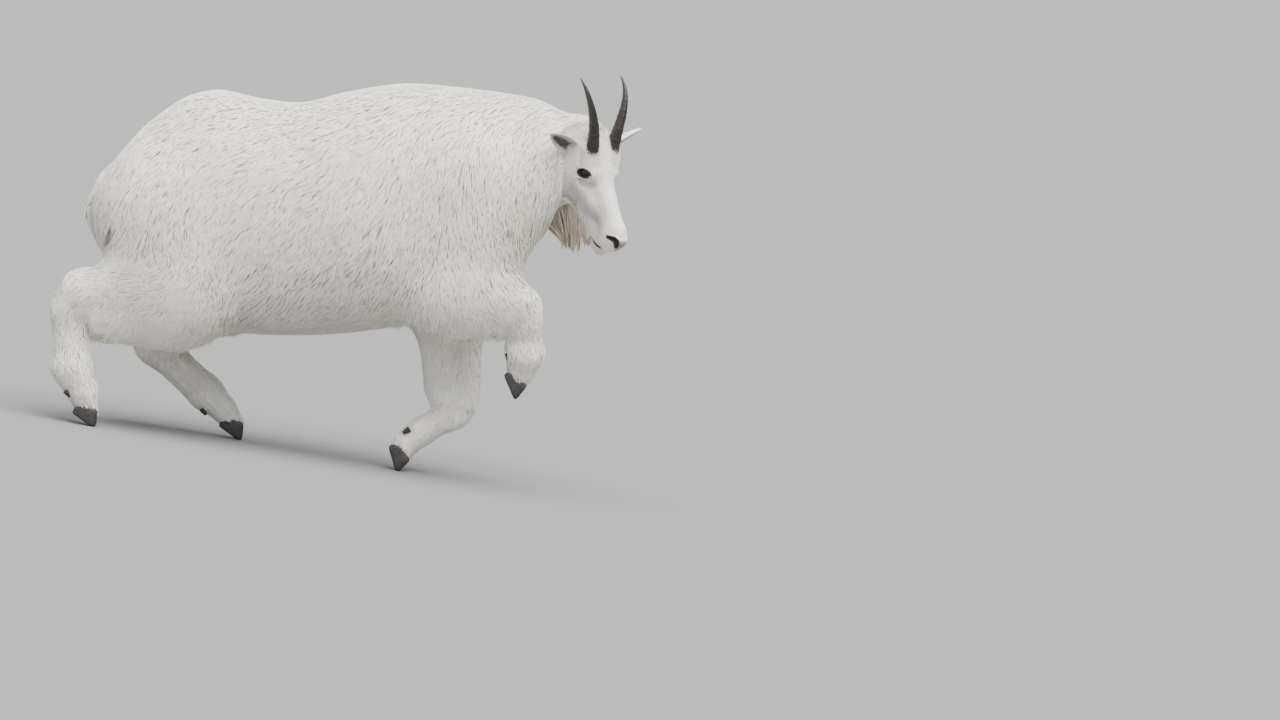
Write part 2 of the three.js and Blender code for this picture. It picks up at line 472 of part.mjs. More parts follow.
// legs with their claws
const LEG_BOX = {
  hind_right: [[-700, -230, -60], [-180, 30, 500]], hind_left: [[-560, -30, -80], [-180, 230, 500]],
  fore_right: [[200, -210, 120], [560, -10, 450]], fore_left: [[90, -60, -80], [420, 200, 450]],
};
for (const [name, foot] of Object.entries(FEET)) {
  const side = name.endsWith('right') ? -1 : 1, hind = name.startsWith('hind');
  const cut = (hind ? hindCut : foreCut)(side)(0);
  let leg = skinOf(bodyField, ...LEG_BOX[name], cells(hind ? CELL.hind : CELL.fore)).intersect(cut);
  if (!hind) leg = leg.subtract(beyond(V(620, 0, 0), V(1, 0, 0)));
  else leg = leg.subtract(tailCut(GAP));
  leg = leg.subtract(ground);
  for (const [where, s] of [['right', -1], ['left', 1]]) {
    leg = leg.subtract(claw(foot, s, GAP)).subtract(dewclaw(foot, s, GAP));
    pieces[`claw_${name}_${where}`] = claw(foot, s, 0).subtract(ground);
    pieces[`dewclaw_${name}_${where}`] = dewclaw(foot, s, 0);
  }
  pieces[(hind ? 'hind_leg_' : 'fore_leg_') + (side < 0 ? 'right' : 'left')] = largest(leg);
}

// ---------------------------------------------------------------- meshes
const coat = new THREE.MeshStandardMaterial({ color: 0xe9e5da, roughness: 0.9, metalness: 0 });
const beardHair = new THREE.MeshStandardMaterial({ color: 0xe6dcbc, roughness: 0.9, metalness: 0 });
const hornDark = new THREE.MeshStandardMaterial({ color: 0x2a221d, roughness: 0.45, metalness: 0 });
const clawDark = new THREE.MeshStandardMaterial({ color: 0x1f1d1c, roughness: 0.55, metalness: 0 });
const eyeDark = new THREE.MeshStandardMaterial({ color: 0x1a110b, roughness: 0.1, metalness: 0 });
const looks = name => name.startsWith('horn') ? hornDark : name.includes('claw') ? clawDark : name.startsWith('eye') ? eyeDark
  : name === 'beard' ? beardHair : coat;

const goat = new THREE.Group();
goat.applyMatrix4(level);
for (const [name, piece] of Object.entries(pieces)) {
  const { vertProperties, triVerts, numProp } = piece.getMesh();
  const g = new THREE.BufferGeometry(), p = new Float32Array(vertProperties.length / numProp * 3);
  for (let i = 0; i < p.length / 3; i++) for (let m = 0; m < 3; m++) p[3 * i + m] = vertProperties[i * numProp + m];
  g.setAttribute('position', new THREE.BufferAttribute(p, 3));
  g.setIndex(Array.from(triVerts));
  g.computeVertexNormals();
  const mesh = new THREE.Mesh(g, looks(name).clone());
  mesh.name = name;
  goat.add(mesh);
}
const model = new THREE.Group();
model.add(goat);
export default model;
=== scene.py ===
# Looks of the mountain goat: one skin, a coat of mesh tufts, eyes, horns, claws, floor, lights and camera.
# Lengths inside the shape functions are millimetres in the body's own frame, before it is tipped level:
# X to the head, Y to the animal's left, Z up. out() turns them into the row frame in metres.
from math import cos, pi, radians, sin

import bpy
import numpy as np
from mathutils import Matrix, Vector
from mathutils.kdtree import KDTree


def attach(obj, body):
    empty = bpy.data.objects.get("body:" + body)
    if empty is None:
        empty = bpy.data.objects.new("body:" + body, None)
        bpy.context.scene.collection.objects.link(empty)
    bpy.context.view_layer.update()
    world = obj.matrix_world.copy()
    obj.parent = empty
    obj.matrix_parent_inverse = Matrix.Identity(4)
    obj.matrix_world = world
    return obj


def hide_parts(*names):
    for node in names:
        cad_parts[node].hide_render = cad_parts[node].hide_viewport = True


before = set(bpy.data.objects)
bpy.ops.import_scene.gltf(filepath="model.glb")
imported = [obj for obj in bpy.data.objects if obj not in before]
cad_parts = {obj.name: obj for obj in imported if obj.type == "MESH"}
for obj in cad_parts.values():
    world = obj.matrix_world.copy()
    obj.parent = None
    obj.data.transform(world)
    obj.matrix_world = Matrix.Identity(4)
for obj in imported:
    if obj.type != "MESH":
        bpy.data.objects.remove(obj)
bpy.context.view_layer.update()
RNG = np.random.default_rng(20)
F = np.float32

# ------------------------------------------------------------------ sizes, as in the part
LEVEL, FLOOR_DROP, ORIGIN = 9.5, 25.7, (-68.3, 0.5)
HEAD_AT, HEAD_PITCH, HEAD_YAW = (634.8, -88.0, 728.0), 68.0, 45.0
HORN = dict(base=(0, -8, 34.5), root=26, length=188, radius=15.2, tip=1.2, rise=38, sweep=58, splay=0.28)
EAR = dict(root=(-18, -50, 48), lean=(-0.28, 0.34, 0.90), length=112, half=21, cup=15, thick=9)
EAR_OPEN = {-1: (0.80, 0.46, 0.0), 1: (0.95, 0.08, 0.0)}
EYE_AT, EYE_R = (43.0, -38.0, 39.5), 14.4
TRUNK_COAT, LIMB_COAT = 9.5, 0.60
LT, LC = cos(radians(LEVEL)), sin(radians(LEVEL))
E5C, E5S = cos(radians(5)), sin(radians(5))


def out(p):
    """Body frame in mm to the row frame in m."""
    p = np.asarray(p, float)
    return np.stack([
        p[..., 0] * LT - p[..., 2] * LC - ORIGIN[0],
        p[..., 1] - ORIGIN[1],
        p[..., 0] * LC + p[..., 2] * LT + FLOOR_DROP], -1) * 0.001


def turn(v):
    v = np.asarray(v, float)
    return np.stack([v[..., 0] * LT - v[..., 2] * LC, v[..., 1], v[..., 0] * LC + v[..., 2] * LT], -1)


def at(px, py, y=0.0):
    """A place on the side drawing, which is 2.4 mm to the unit, seen from 5 degrees up."""
    return np.array([(px - 340) * 2.4, y, ((450 - py) * 2.4 - y * E5S) / E5C])


# head frame: u down the face, v out of the forehead, w to the animal's left
_p, _s = radians(HEAD_PITCH), radians(HEAD_YAW)
U = np.array([cos(_p) * cos(_s), -cos(_p) * sin(_s), -sin(_p)])
Vv = np.array([sin(_p) * cos(_s), -sin(_p) * sin(_s), cos(_p)])
W = np.cross(Vv, U)
HEAD = np.array([U, Vv, W])
HEAD32 = HEAD.astype(F)


def to_head(p):
    return (p - np.array(HEAD_AT, F)) @ HEAD32.T


def from_head(q):
    return np.asarray(q, float) @ HEAD + np.array(HEAD_AT)


# ------------------------------------------------------------------ the body's shape
TRUNK = [  # x, back, belly, half width, centre line
    (-590, 700, 410, 106, 0), (-520, 742, 384, 130, 0), (-440, 800, 350, 146, 0), (-372, 846, 315, 156, 0),
    (-300, 866, 290, 159, 0), (-187, 846, 278, 162, 0), (-96, 836, 276, 169, 0), (24, 862, 282, 172, 0),
    (156, 881, 300, 160, 0), (276, 874, 320, 140, 0), (384, 861, 388, 117, -8), (470, 846, 500, 96, -20),
    (540, 816, 588, 80, -32), (610, 778, 650, 64, -38)]
ENDS = (-440, 150, 500, 98)
LIMBS = []   # name, group, from, to, radius at each, flattening across Y, coat depth, blend


def limb(name, group, a, b, ra, rb, s, coat, k):
    LIMBS.append((name, group, np.array(a, F), np.array(b, F), ra, rb, s, coat, k))


limb("thigh_R", "hr", at(165, 215, -80), at(178, 285, -98), 118, 116, 0.60, 20, 70)
limb("gaskin_R", "hr", at(176, 294, -104), at(92, 294, -122), 114, 56, 0.55, 18, 45)
limb("fringe_R", "hr", at(172, 308, -118), at(112, 321, -124), 92, 58, 0.42, 34, 30)
limb("hock_R", "hr", at(86, 292, -122), at(74, 304, -126), 50, 38, 0.78, 12, 22)
limb("cannon_h_R", "hr", at(71, 312, -128), at(76, 364, -138), 36, 47, 0.70, 13, 24)
limb("fetlock_h_R", "hr", at(75, 368, -138), at(86, 389, -142), 46, 37, 0.85, 9, 18)
limb("thigh_L", "hl", at(170, 215, 80), at(222, 270, 98), 118, 108, 0.60, 20, 70)
limb("gaskin_L", "hl", at(226, 278, 104), at(152, 334, 112), 104, 52, 0.58, 18, 45)
limb("hock_L", "hl", at(154, 334, 112), at(154, 344, 112), 50, 44, 0.78, 12, 22)
limb("cannon_h_L", "hl", at(154, 346, 112), at(203, 392, 112), 42, 42, 0.74, 11, 22)
limb("fetlock_h_L", "hl", at(204, 393, 112), at(221, 409, 112), 40, 32, 0.9, 8, 18)
limb("shoulder_R", "fr", at(470, 180, -80), at(470, 270, -92), 120, 96, 0.58, 18, 70)
limb("forearm_R", "fr", at(452, 292, -98), at(522, 308, -116), 92, 50, 0.66, 16, 45)
limb("fringe_f_R", "fr", at(468, 312, -104), at(498, 318, -110), 70, 50, 0.45, 30, 26)
limb("knee_R", "fr", at(523, 306, -116), at(526, 320, -114), 38, 34, 0.9, 7, 18)
limb("cannon_f_R", "fr", at(526, 322, -114), at(526, 352, -106), 34, 45, 0.74, 10, 20)
limb("fetlock_f_R", "fr", at(525, 354, -105), at(522, 370, -100), 44, 32, 0.85, 8, 16)
limb("shoulder_L", "fl", at(470, 180, 80), at(464, 268, 88), 120, 96, 0.58, 18, 70)
limb("forearm_L", "fl", at(450, 300, 86), at(452, 382, 50), 84, 70, 0.66, 24, 45)
limb("knee_L", "fl", at(456, 396, 44), at(455, 408, 38), 62, 48, 0.76, 16, 22)
limb("cannon_f_L", "fl", at(450, 415, 34), at(420, 432, 16), 36, 33, 0.86, 8, 18)
limb("fetlock_f_L", "fl", at(420, 432, 16), at(406, 443, 8), 33, 30, 0.95, 7, 16)
limb("tail", "tail", at(114, 182, 0), at(98, 212, 0), 34, 31, 1.0, 16, 20)
limb("tail_tip", "tail", at(97, 214, 0), at(102, 244, 0), 27, 8, 1.0, 16, 12)

HOOF = dict(sole=62, height=40, width=22, cleft=3)
DEW = dict(length=20, radius=8.5)
FEET = {
    "hind_right": dict(toe=(-581, -142, 67), sole=36, dew=(-38, 32), aim=(0.94, -0.34)),
    "hind_left": dict(toe=(-245, 112, 11), sole=36, dew=(-52, 8), aim=(0.94, -0.34)),
    "fore_right": dict(toe=(420, -98, 131), sole=67, dew=(-40, 27), aim=(0.94, -0.34)),
    "fore_left": dict(toe=(134, 4, -53), sole=74, dew=(-29, 52), aim=(0.28, -0.96))}


def foot_frame(foot):
    a = radians(foot["sole"])
    s, n = np.array([cos(a), 0, -sin(a)]), np.array([sin(a), 0, cos(a)])
    return s, n, np.array(foot["toe"], float) - s * 0.97 * HOOF["sole"]


for _name, _limb, _grp in (("hind_right", "fetlock_h_R", "hr"), ("hind_left", "fetlock_h_L", "hl"), ("fore_right", "fetlock_f_R", "fr"), ("fore_left", "fetlock_f_L", "fl")):
    _l = [e for e in LIMBS if e[0] == _limb][0]
    _f, _n, _heel = foot_frame(FEET[_name])
    limb("pastern_" + _grp, _grp, _l[3], _heel + _f * 0.40 * HOOF["sole"] + _n * 0.60 * HOOF["height"], _l[5] * 0.94, 26.5, 0.86, 8, 12)

HEAD_BALLS = [  # centre, radii, coat, blend
    ((-28, -52, 0), (60, 53, 50), 8, 20), ((-30, -22, 0), (26, 17, 24), 14, 20), ((18, -46, 0), (56, 40, 46), 4, 20),
    ((36, -33, 32), (26, 15, 17), 4, 16), ((48, -40, 37), (26, 22, 16), 3, 14)]
HEAD_PARTS = [("b",) + b for b in HEAD_BALLS] + [
    ("c", (60, -56, 0), (190, -42, 0), 40, 26, 0.86, 3, 20),
    ("c", (64, -66, 30), (120, -60, 20), 20, 16, 1.0, 4, 22),
    ("b", (203, -50, 0), (31, 32, 27), 3, 18), ("b", (223, -37, 0), (12, 17, 19), 1.5, 10),
    ("b", (214, -62, 9), (19, 16, 19), 2.5, 12),
    ("c", (40, -108, 16), (190, -93, 0), 30, 21, 1.0, 6, 22),
    ("b", (212, -98, 0), (20, 16, 18), 4, 14), ("b", (36, -88, 30), (50, 46, 28), 6, 24),
    ("c", (-30, -92, 0), (50, -128, 0), 62, 36, 0.9, 18, 36), ("b", (6, -20, 28), (20, 12, 16), 14, 14)]
HAIR = [  # hair only: beard, jowl, jaw and cheek
    (at(566, 214, -8), at(567, 240, -10), 62, 46, 0.7, 26), (at(564, 238, -8), at(577, 256, -14), 42, 16, 0.7, 20),
    (at(552, 200, -20), at(556, 236, -8), 62, 34, 0.8, 30), (at(572, 210, -30), at(590, 244, -60), 44, 16, 0.8, 20),
    (at(566, 165, -52), at(566, 205, -36), 46, 50, 0.85, 34)]


def smin(a, b, k):
    h = np.clip(0.5 + 0.5 * (b - a) / k, 0, 1)
    return b + (a - b) * h - k * h * (1 - h)


def smax(a, b, k):
    return -smin(-a, -b, k)


def step01(x, a, b):
    t = np.clip((x - a) / (b - a), 0, 1)
    return t * t * (3 - 2 * t)


def cone(p, a, b, ra, rb, s, axis=1):
    a, b = np.asarray(a, F), np.asarray(b, F)
    ba = b - a
    d = p - a
    t = np.clip((d @ ba) / (ba @ ba), 0, 1)
    q = d - t[..., None] * ba
    if s != 1.0:
        q[..., axis] *= F(1 / s)
    rho = np.sqrt((q * q).sum(-1) + F(1e-6))
    return (rho - (ra + (rb - ra) * t)) * F(min(1.0, s))


def ball(q, c, r):
    r = np.asarray(r, F)
    e = (q - np.asarray(c, F)) / r
    k0 = np.sqrt((e * e).sum(-1)) + F(1e-6)
    k1 = np.sqrt(((e / r) ** 2).sum(-1)) + F(1e-6)
    return k0 * (k0 - 1) / k1


def hermite(x, xs, ys):
    d = np.diff(ys) / np.diff(xs)
    m = np.zeros_like(ys)
    m[1:-1] = (d[:-1] * np.diff(xs)[1:] + d[1:] * np.diff(xs)[:-1]) / (xs[2:] - xs[:-2])
    m[0], m[-1] = d[0], d[-1]
    i = np.clip(np.searchsorted(xs, x) - 1, 0, len(xs) - 2)
    h = xs[i + 1] - xs[i]
    t = np.clip((x - xs[i]) / h, 0, 1)
    return ((2 * t**3 - 3 * t**2 + 1) * ys[i] + (t**3 - 2 * t**2 + t) * h * m[i]
            + (-2 * t**3 + 3 * t**2) * ys[i + 1] + (t**3 - t**2) * h * m[i + 1])


_T = np.array(TRUNK, float)
_X = np.linspace(_T[0, 0], _T[-1, 0], 2400)
_LOFT = [hermite(_X, _T[:, 0], _T[:, j]).astype(F) for j in range(1, 5)]
_X = _X.astype(F)


def trunk_field(p, inset):
    x, y, z = p[..., 0], p[..., 1], p[..., 2]
    top, bot, w, yc = (np.interp(x, _X, t).astype(F) for t in _LOFT)
    top, bot, w = top - F(inset), bot + F(inset), w - F(inset)
    c = bot + (top - bot) * F(0.56)
    hz = np.where(z > c, top - c, c - bot)
    taper = 1 - F(0.22) * np.clip((z - c) / hz, -1, 1)
    n = F(2.25)
    rho = ((np.abs(y - yc) / (w * taper)) ** n + (np.abs(z - c) / hz) ** n) ** (1 / n)
    x0, c0, x1, c1 = ENDS
    ex = np.where(x < x0, (x0 - x) / F(c0 - inset), np.where(x > x1, (x - x1) / F(c1 - inset * 0.5), 0))
    rho = np.sqrt(rho**2 + ex**2)
    return (rho - 1) * np.minimum(np.minimum(w, hz), 160) * F(0.9)


def head_field(p, skin):
    q = to_head(p)
    q[..., 2] = np.abs(q[..., 2])
    f = None
    for e in HEAD_PARTS:
        if e[0] == "b":
            d = ball(q, e[1], np.array(e[2], float) + (0 if skin else e[3]))
            k = e[4]
        else:
            g = 0 if skin else e[6]
            d = cone(q, e[1], e[2], e[3] + g, e[4] + g, e[5], axis=2)
            k = e[7]
        f = d if f is None else smin(f, d, k)
    return f


def body_field(p, skin):
    f = trunk_field(p, TRUNK_COAT if skin else 0.0)
    for name, _, a, b, ra, rb, s, coat, k in LIMBS:
        g = 0 if not skin else 12 if name == "tail_tip" else coat if "fringe" in name else coat * LIMB_COAT
        f = smin(f, cone(p, a, b, ra - g, max(rb - g, 3), s), k)
    return f


def coat_field(p):
    """Zero at the tips of the coat."""
    p = np.ascontiguousarray(p, F)
    f = smin(body_field(p, False), head_field(p, False), 34)
    for a, b, ra, rb, s, k in HAIR:
        f = smin(f, cone(p, a, b, ra, rb, s), k)
    return f


# ------------------------------------------------------------------ fine shape of the face
EYE_AXIS = np.array([0.16, 0.14, 1.0]) / np.linalg.norm([0.16, 0.14, 1.0])
EYE_ALONG = np.array([0.63, 0.75, -0.206])
EYE_ALONG /= np.linalg.norm(EYE_ALONG)            # from the outer corner of the lids to the inner one
EYE_UP = np.cross(EYE_AXIS, EYE_ALONG)
NOSTRIL = [((205, -41, 27), 2.4), ((210, -35, 24.5), 4.0), ((216, -30, 20), 5.2), ((222, -29, 16), 5.4), ((228, -32, 14), 4.6), ((232.5, -38, 12), 2.8)]
MOUTH = [((233, -68, 0), 1.3), ((231, -72, 9), 1.3), ((225, -78, 15), 1.3), ((216, -86, 19), 1.3), ((205, -93, 22), 1.2), ((194, -97, 23.5), 1.1), ((184, -99, 24.5), 0.8)]
RIM = [((231, -24, 6), 2.4), ((222, -20, 11), 3.2), ((213, -25, 20), 3.2), ((204, -35, 26), 2.4)]
LIP = [((232, -60, 8), 3.0), ((222, -66, 17), 4.0), ((206, -77, 23), 3.4)]
LOWER = [((229, -80, 5), 2.6), ((219, -90, 14), 3.4), ((204, -99, 19), 2.6)]
PHILTRUM = [((236, -45, 0), 1.0), ((236.5, -56, 0), 1.3), ((233, -67, 0), 1.4)]


def chain(q, pts):
    f = None
    for (a, ra), (b, rb) in zip(pts[:-1], pts[1:]):
        d = cone(q, a, b, ra, rb, 1.0)
        f = d if f is None else np.minimum(f, d)
    return f


def eye_place(q):
    """Places round the eye, for q with w made positive: along the slit, across it, out."""
    d = q - np.array(EYE_AT, F)
    return d @ EYE_ALONG.astype(F), d @ EYE_UP.astype(F), d @ EYE_AXIS.astype(F)


def slit(a, b):
    """Below zero inside the opening between the lids."""
    x = np.clip(a / 14.5, -1, 1)
    up, low = 9.4 * (1 - x * x) ** 0.72, 8.4 * (1 - x * x) ** 0.8
    return np.maximum(np.where(b > 0, b - up, -b - low), np.abs(a) - 14.0)


def skin_field(p, fine=True):
    p = np.ascontiguousarray(p, F)
    h = head_field(p, True)
    f = smin(body_field(p, True), h, 34)
    if not fine:
        return f
    q = to_head(p)
    near = (q[..., 0] > -40) & (q[..., 0] < 260) & (h < 40) & (h > -40)
    if not near.any():
        return f
    q = q[near]
    q[..., 2] = np.abs(q[..., 2])
    g = f[near]
    a, b, c = eye_place(q)
    r = np.sqrt(a * a + b * b + c * c)
    g = smin(g, np.where(c > -4, r - (EYE_R + 2.0), 30), 5)             # lids over the ball
    g = smin(g, cone(q, (24, -27, 43), (58, -25, 40), 5, 3, 1.0), 9)     # brow above the eye
    g = smax(g, -(ball(q, (66, -50, 50), (12, 7, 5))), 9)                # hollow before the eye
    g = smax(g, -(cone(q, (84, -38, 46), (150, -32, 40), 12, 9, 1.0)), 16)   # side of the nose bone
    g = smax(g, -np.maximum(slit(a, b), np.maximum((EYE_R - 2.6) - r, -c)), 1.6)
    g = smin(g, chain(q, RIM), 5)
    g = smax(g, -chain(q, NOSTRIL), 2.6)
    g = smin(g, chain(q, LIP), 7)
    g = smin(g, chain(q, LOWER), 7)
    g = smax(g, -chain(q, MOUTH), 1.6)
    g = smax(g, -chain(q, PHILTRUM), 2.0)
    f = f.copy()
    f[near] = g
    return f


def gradient(fn, p, e=0.7):
    k = np.array([(1, -1, -1), (-1, -1, 1), (-1, 1, -1), (1, 1, 1)], F)
    g = sum(fn(p + v * F(e))[..., None] * v for v in k)
    n = np.linalg.norm(g, axis=-1, keepdims=True)
    return g / np.maximum(n, 1e-6), n[..., 0] / (4 * e)


def settle(fn, p, level=0.0, rounds=2, e=0.7, most=12.0):
    """Points moved onto fn == level along its slope."""
    p = np.ascontiguousarray(p, F)
    for _ in range(rounds):
        n, s = gradient(fn, p, e)
        d = np.clip((fn(p) - level) / np.maximum(s, 0.35), -most, most)
        p = p - n * d[..., None]
    return p


def on_face(pts, sink):
    """The same line, laid on the surface of the head and sunk by a share of its radius."""
    plain = lambda p: skin_field(p, False)
    pts = [((*(np.array(a) * (1 - t) + np.array(b) * t),), ra * (1 - t) + rb * t) for (a, ra), (b, rb) in zip(pts[:-1], pts[1:]) for t in (0, 1 / 3, 2 / 3)] + [pts[-1]]
    p = settle(plain, from_head([c for c, _ in pts]), rounds=5, e=0.7, most=8.0).astype(float)
    n, _ = gradient(plain, np.ascontiguousarray(p, F), 0.7)
    rad = np.array([r for _, r in pts])
    q = to_head((p - n * (rad * sink)[:, None]).astype(F))
    q[:, 2] = np.where(np.array([c[2] for c, _ in pts]) == 0, 0, q[:, 2])
    return [(tuple(float(x) for x in a), float(r)) for a, r in zip(q, rad)]


NOSTRIL, MOUTH, PHILTRUM = on_face(NOSTRIL, -0.25), on_face(MOUTH, 0.0), on_face(PHILTRUM, 0.0)
RIM, LIP, LOWER = on_face(RIM, 0.35), on_face(LIP, 0.6), on_face(LOWER, 0.6)


# ------------------------------------------------------------------ skin mesh
def nets(fn, lo, hi, cell):
    """A closed mesh of squares round fn < 0, one vertex to a cell."""
    n = [int(np.ceil((hi[i] - lo[i]) / cell)) + 1 for i in range(3)]
    ax = [lo[i] + cell * np.arange(n[i]) for i in range(3)]
    vals = np.empty(n, F)
    gy, gz = np.meshgrid(ax[1], ax[2], indexing="ij")
    for i0 in range(0, n[0], 24):
        xs = ax[0][i0:i0 + 24]
        p = np.empty((len(xs), n[1], n[2], 3), F)
        p[..., 0], p[..., 1], p[..., 2] = xs[:, None, None], gy, gz
        vals[i0:i0 + 24] = fn(p)
    ins = vals < 0
    cells = [k - 1 for k in n]
    total, count = np.zeros(cells + [3], F), np.zeros(cells, F)
    for a in range(3):
        s0, s1 = [slice(None)] * 3, [slice(None)] * 3
        s0[a], s1[a] = slice(0, -1), slice(1, None)
        v0, v1 = vals[tuple(s0)], vals[tuple(s1)]
        cross = (v0 < 0) != (v1 < 0)
        t = np.where(cross, v0 / np.where(cross, v0 - v1, 1), 0)
        b, c = [m for m in range(3) if m != a]
        for db in (0, 1):
            for dc in (0, 1):
                s = [slice(None)] * 3
                s[b] = slice(db, n[b] - 1 + db)
                s[c] = slice(dc, n[c] - 1 + dc)
                m = cross[tuple(s)]
                count += m
                total[..., a] += np.where(m, t[tuple(s)], 0)
                total[..., b] += m * db
                total[..., c] += m * dc
    on = count > 0
    ids = np.full(cells, -1)
    ids[on] = np.arange(on.sum())
    ijk = np.argwhere(on)
    verts = (ijk + total[on] / count[on][:, None]) * cell + np.array(lo)
    quads = []
    for a in range(3):
        s0, s1 = [slice(1, -1)] * 3, [slice(1, -1)] * 3
        s0[a], s1[a] = slice(0, -1), slice(1, None)
        i0, i1 = ins[tuple(s0)], ins[tuple(s1)]
        b, c = (a + 1) % 3, (a + 2) % 3
        for flip in (False, True):
            e = np.argwhere(i0 & ~i1 if not flip else ~i0 & i1)
            off = np.ones(3, int)
            off[a] = 0
            e = e + off
            q = []
            for db, dc in ((1, 1), (0, 1), (0, 0), (1, 0)):
                k = e.copy()
                k[:, b] -= db
                k[:, c] -= dc
                q.append(ids[k[:, 0], k[:, 1], k[:, 2]])
            q = np.stack(q, 1)
            quads.append(q[:, ::-1] if flip else q)
    q = np.concatenate(quads)
    tri = np.concatenate([q[:, [0, 1, 2]], q[:, [0, 2, 3]]])
    return verts.astype(F), tri


def neighbours_mean(v, tri):
    e = np.concatenate([tri[:, [0, 1]], tri[:, [1, 2]], tri[:, [2, 0]]])
    e = np.concatenate([e, e[:, ::-1]])
    s = np.stack([np.bincount(e[:, 0], v[e[:, 1], m], len(v)) for m in range(3)], 1)
    return s / np.maximum(np.bincount(e[:, 0], minlength=len(v)), 1)[:, None]


def relax(fn, v, tri, rounds=2, share=0.5, e=0.7):
    for _ in range(rounds):
        v = v + (neighbours_mean(v, tri) - v) * share
        v = settle(fn, v, rounds=1, e=e)
    return v


def refine(v, tri, want):
    """Splits the edges for which want(midpoints, lengths) holds, with no gaps left."""
    e = np.sort(np.concatenate([tri[:, [0, 1]], tri[:, [1, 2]], tri[:, [2, 0]]]), 1)
    key, inv = np.unique(e[:, 0].astype(np.int64) * len(v) + e[:, 1], return_inverse=True)
    a, b = key // len(v), key % len(v)
    mid = (v[a] + v[b]) / 2
    cut = want(mid, np.linalg.norm(v[a] - v[b], axis=1))
    new = np.full(len(key), -1)
    new[cut] = len(v) + np.arange(cut.sum())
    m = new[inv].reshape(3, -1).T          # the new vertex on edges 01, 12, 20
    n = (m >= 0).sum(1)
    out_tri = [tri[n == 0]]
    t, k = tri[n == 3], m[n == 3]
    out_tri += [np.stack(c, 1) for c in ((t[:, 0], k[:, 0], k[:, 2]), (t[:, 1], k[:, 1], k[:, 0]), (t[:, 2], k[:, 2], k[:, 1]), (k[:, 0], k[:, 1], k[:, 2]))]
    for r in range(3):
        roll = [(r + i) % 3 for i in range(3)]
        s = (n == 1) & (m[:, r] >= 0)
        t, k = tri[s][:, roll], m[s][:, roll]
        out_tri += [np.stack(c, 1) for c in ((t[:, 0], k[:, 0], t[:, 2]), (k[:, 0], t[:, 1], t[:, 2]))]
        s = (n == 2) & (m[:, r] < 0)      # edges 12 and 20 of the rolled one are cut
        t, k = tri[s][:, roll], m[s][:, roll]
        out_tri += [np.stack(c, 1) for c in ((t[:, 2], k[:, 2], k[:, 1]), (t[:, 0], t[:, 1], k[:, 1]), (t[:, 0], k[:, 1], k[:, 2]))]
    return np.concatenate([v, mid[cut]]).astype(F), np.concatenate(out_tri)


def head_place(p):
    q = to_head(np.ascontiguousarray(p, F))
    q[..., 2] = np.abs(q[..., 2])
    return q


def build_skin():
    rough = lambda p: skin_field(p, False)
    v, tri = nets(rough, (-724, -200, -78), (728, 200, 880), 9.0)
    v = settle(rough, v)
    v = relax(rough, v, tri, 2)
    def head(mid, size):
        q = head_place(mid)
        return (q[:, 0] > -90) & (head_field(np.ascontiguousarray(mid, F), True) < 3)
    legs = lambda mid: (mid[:, 2] < 250) & ((mid[:, 2] < 205) | (mid[:, 0] < -470) | (mid[:, 0] > 400))
    v, tri = refine(v, tri, lambda m, s: (head(m, s) | legs(m)) & (s > 5))
    v = settle(rough, v)
    v = relax(rough, v, tri, 1, 0.4)
    v, tri = refine(v, tri, lambda m, s: head(m, s) & (head_place(m)[:, 0] > -30) & (s > 3))
    v = settle(skin_field, v, e=0.5)
    v = relax(skin_field, v, tri, 1, 0.4, e=0.5)
    def features(mid, size):
        q = head_place(mid)
        a, b, c = eye_place(q)
        eye = (np.sqrt(a * a + b * b) < 24) & (c > 0)
        nose = (q[:, 0] > 176) & (q[:, 1] > -106)
        return eye | nose
    v, tri = refine(v, tri, lambda m, s: features(m, s) & (s > 1.7))
    v = settle(skin_field, v, e=0.35, most=3)
    v = relax(skin_field, v, tri, 2, 0.4, e=0.35)
    def finest(mid, size):
        q = head_place(mid)
        a, b, c = eye_place(q)
        return ((np.abs(slit(a, b)) < 3.5) & (c > 4) & (np.abs(a) < 18)) | (chain(q, NOSTRIL) < 3.5) | (chain(q, MOUTH) < 3.0)
    v, tri = refine(v, tri, lambda m, s: finest(m, s) & (s > 0.9))
    v = settle(skin_field, v, e=0.3, most=2)
    v = relax(skin_field, v, tri, 1, 0.3, e=0.3)
    return v, tri


# ------------------------------------------------------------------ places on the unwrap of the skin
GROUPS = ["trunk", "hr", "hl", "fr", "fl", "tail", "head"]
SPINES = {   # the line that each part is unrolled round
    "hr": [at(165, 200, -80), at(178, 285, -98), at(92, 294, -122), at(71, 312, -128), at(76, 364, -138), at(88, 396, -142)],
    "hl": [at(170, 200, 80), at(222, 270, 98), at(152, 334, 112), at(203, 392, 112), at(226, 415, 112)],
    "fr": [at(470, 170, -80), at(470, 270, -92), at(522, 308, -116), at(526, 352, -106), at(520, 376, -100)],
    "fl": [at(470, 170, 80), at(464, 268, 88), at(452, 382, 50), at(455, 408, 38), at(420, 432, 16), at(400, 447, 8)],
    "tail": [at(125, 165, 0), at(101, 212, 0), at(103, 245, 0)]}
SHEET = {"trunk": (0.01, 0.01, 0.60, 0.60), "head": (0.63, 0.01, 0.36, 0.36), "hr": (0.01, 0.63, 0.24, 0.36), "hl": (0.26, 0.63, 0.24, 0.36),
         "fr": (0.51, 0.63, 0.24, 0.36), "fl": (0.76, 0.63, 0.23, 0.36), "tail": (0.63, 0.40, 0.2, 0.2)}
SPAN = {"trunk": (-600, 700), "head": (-110, 240)}


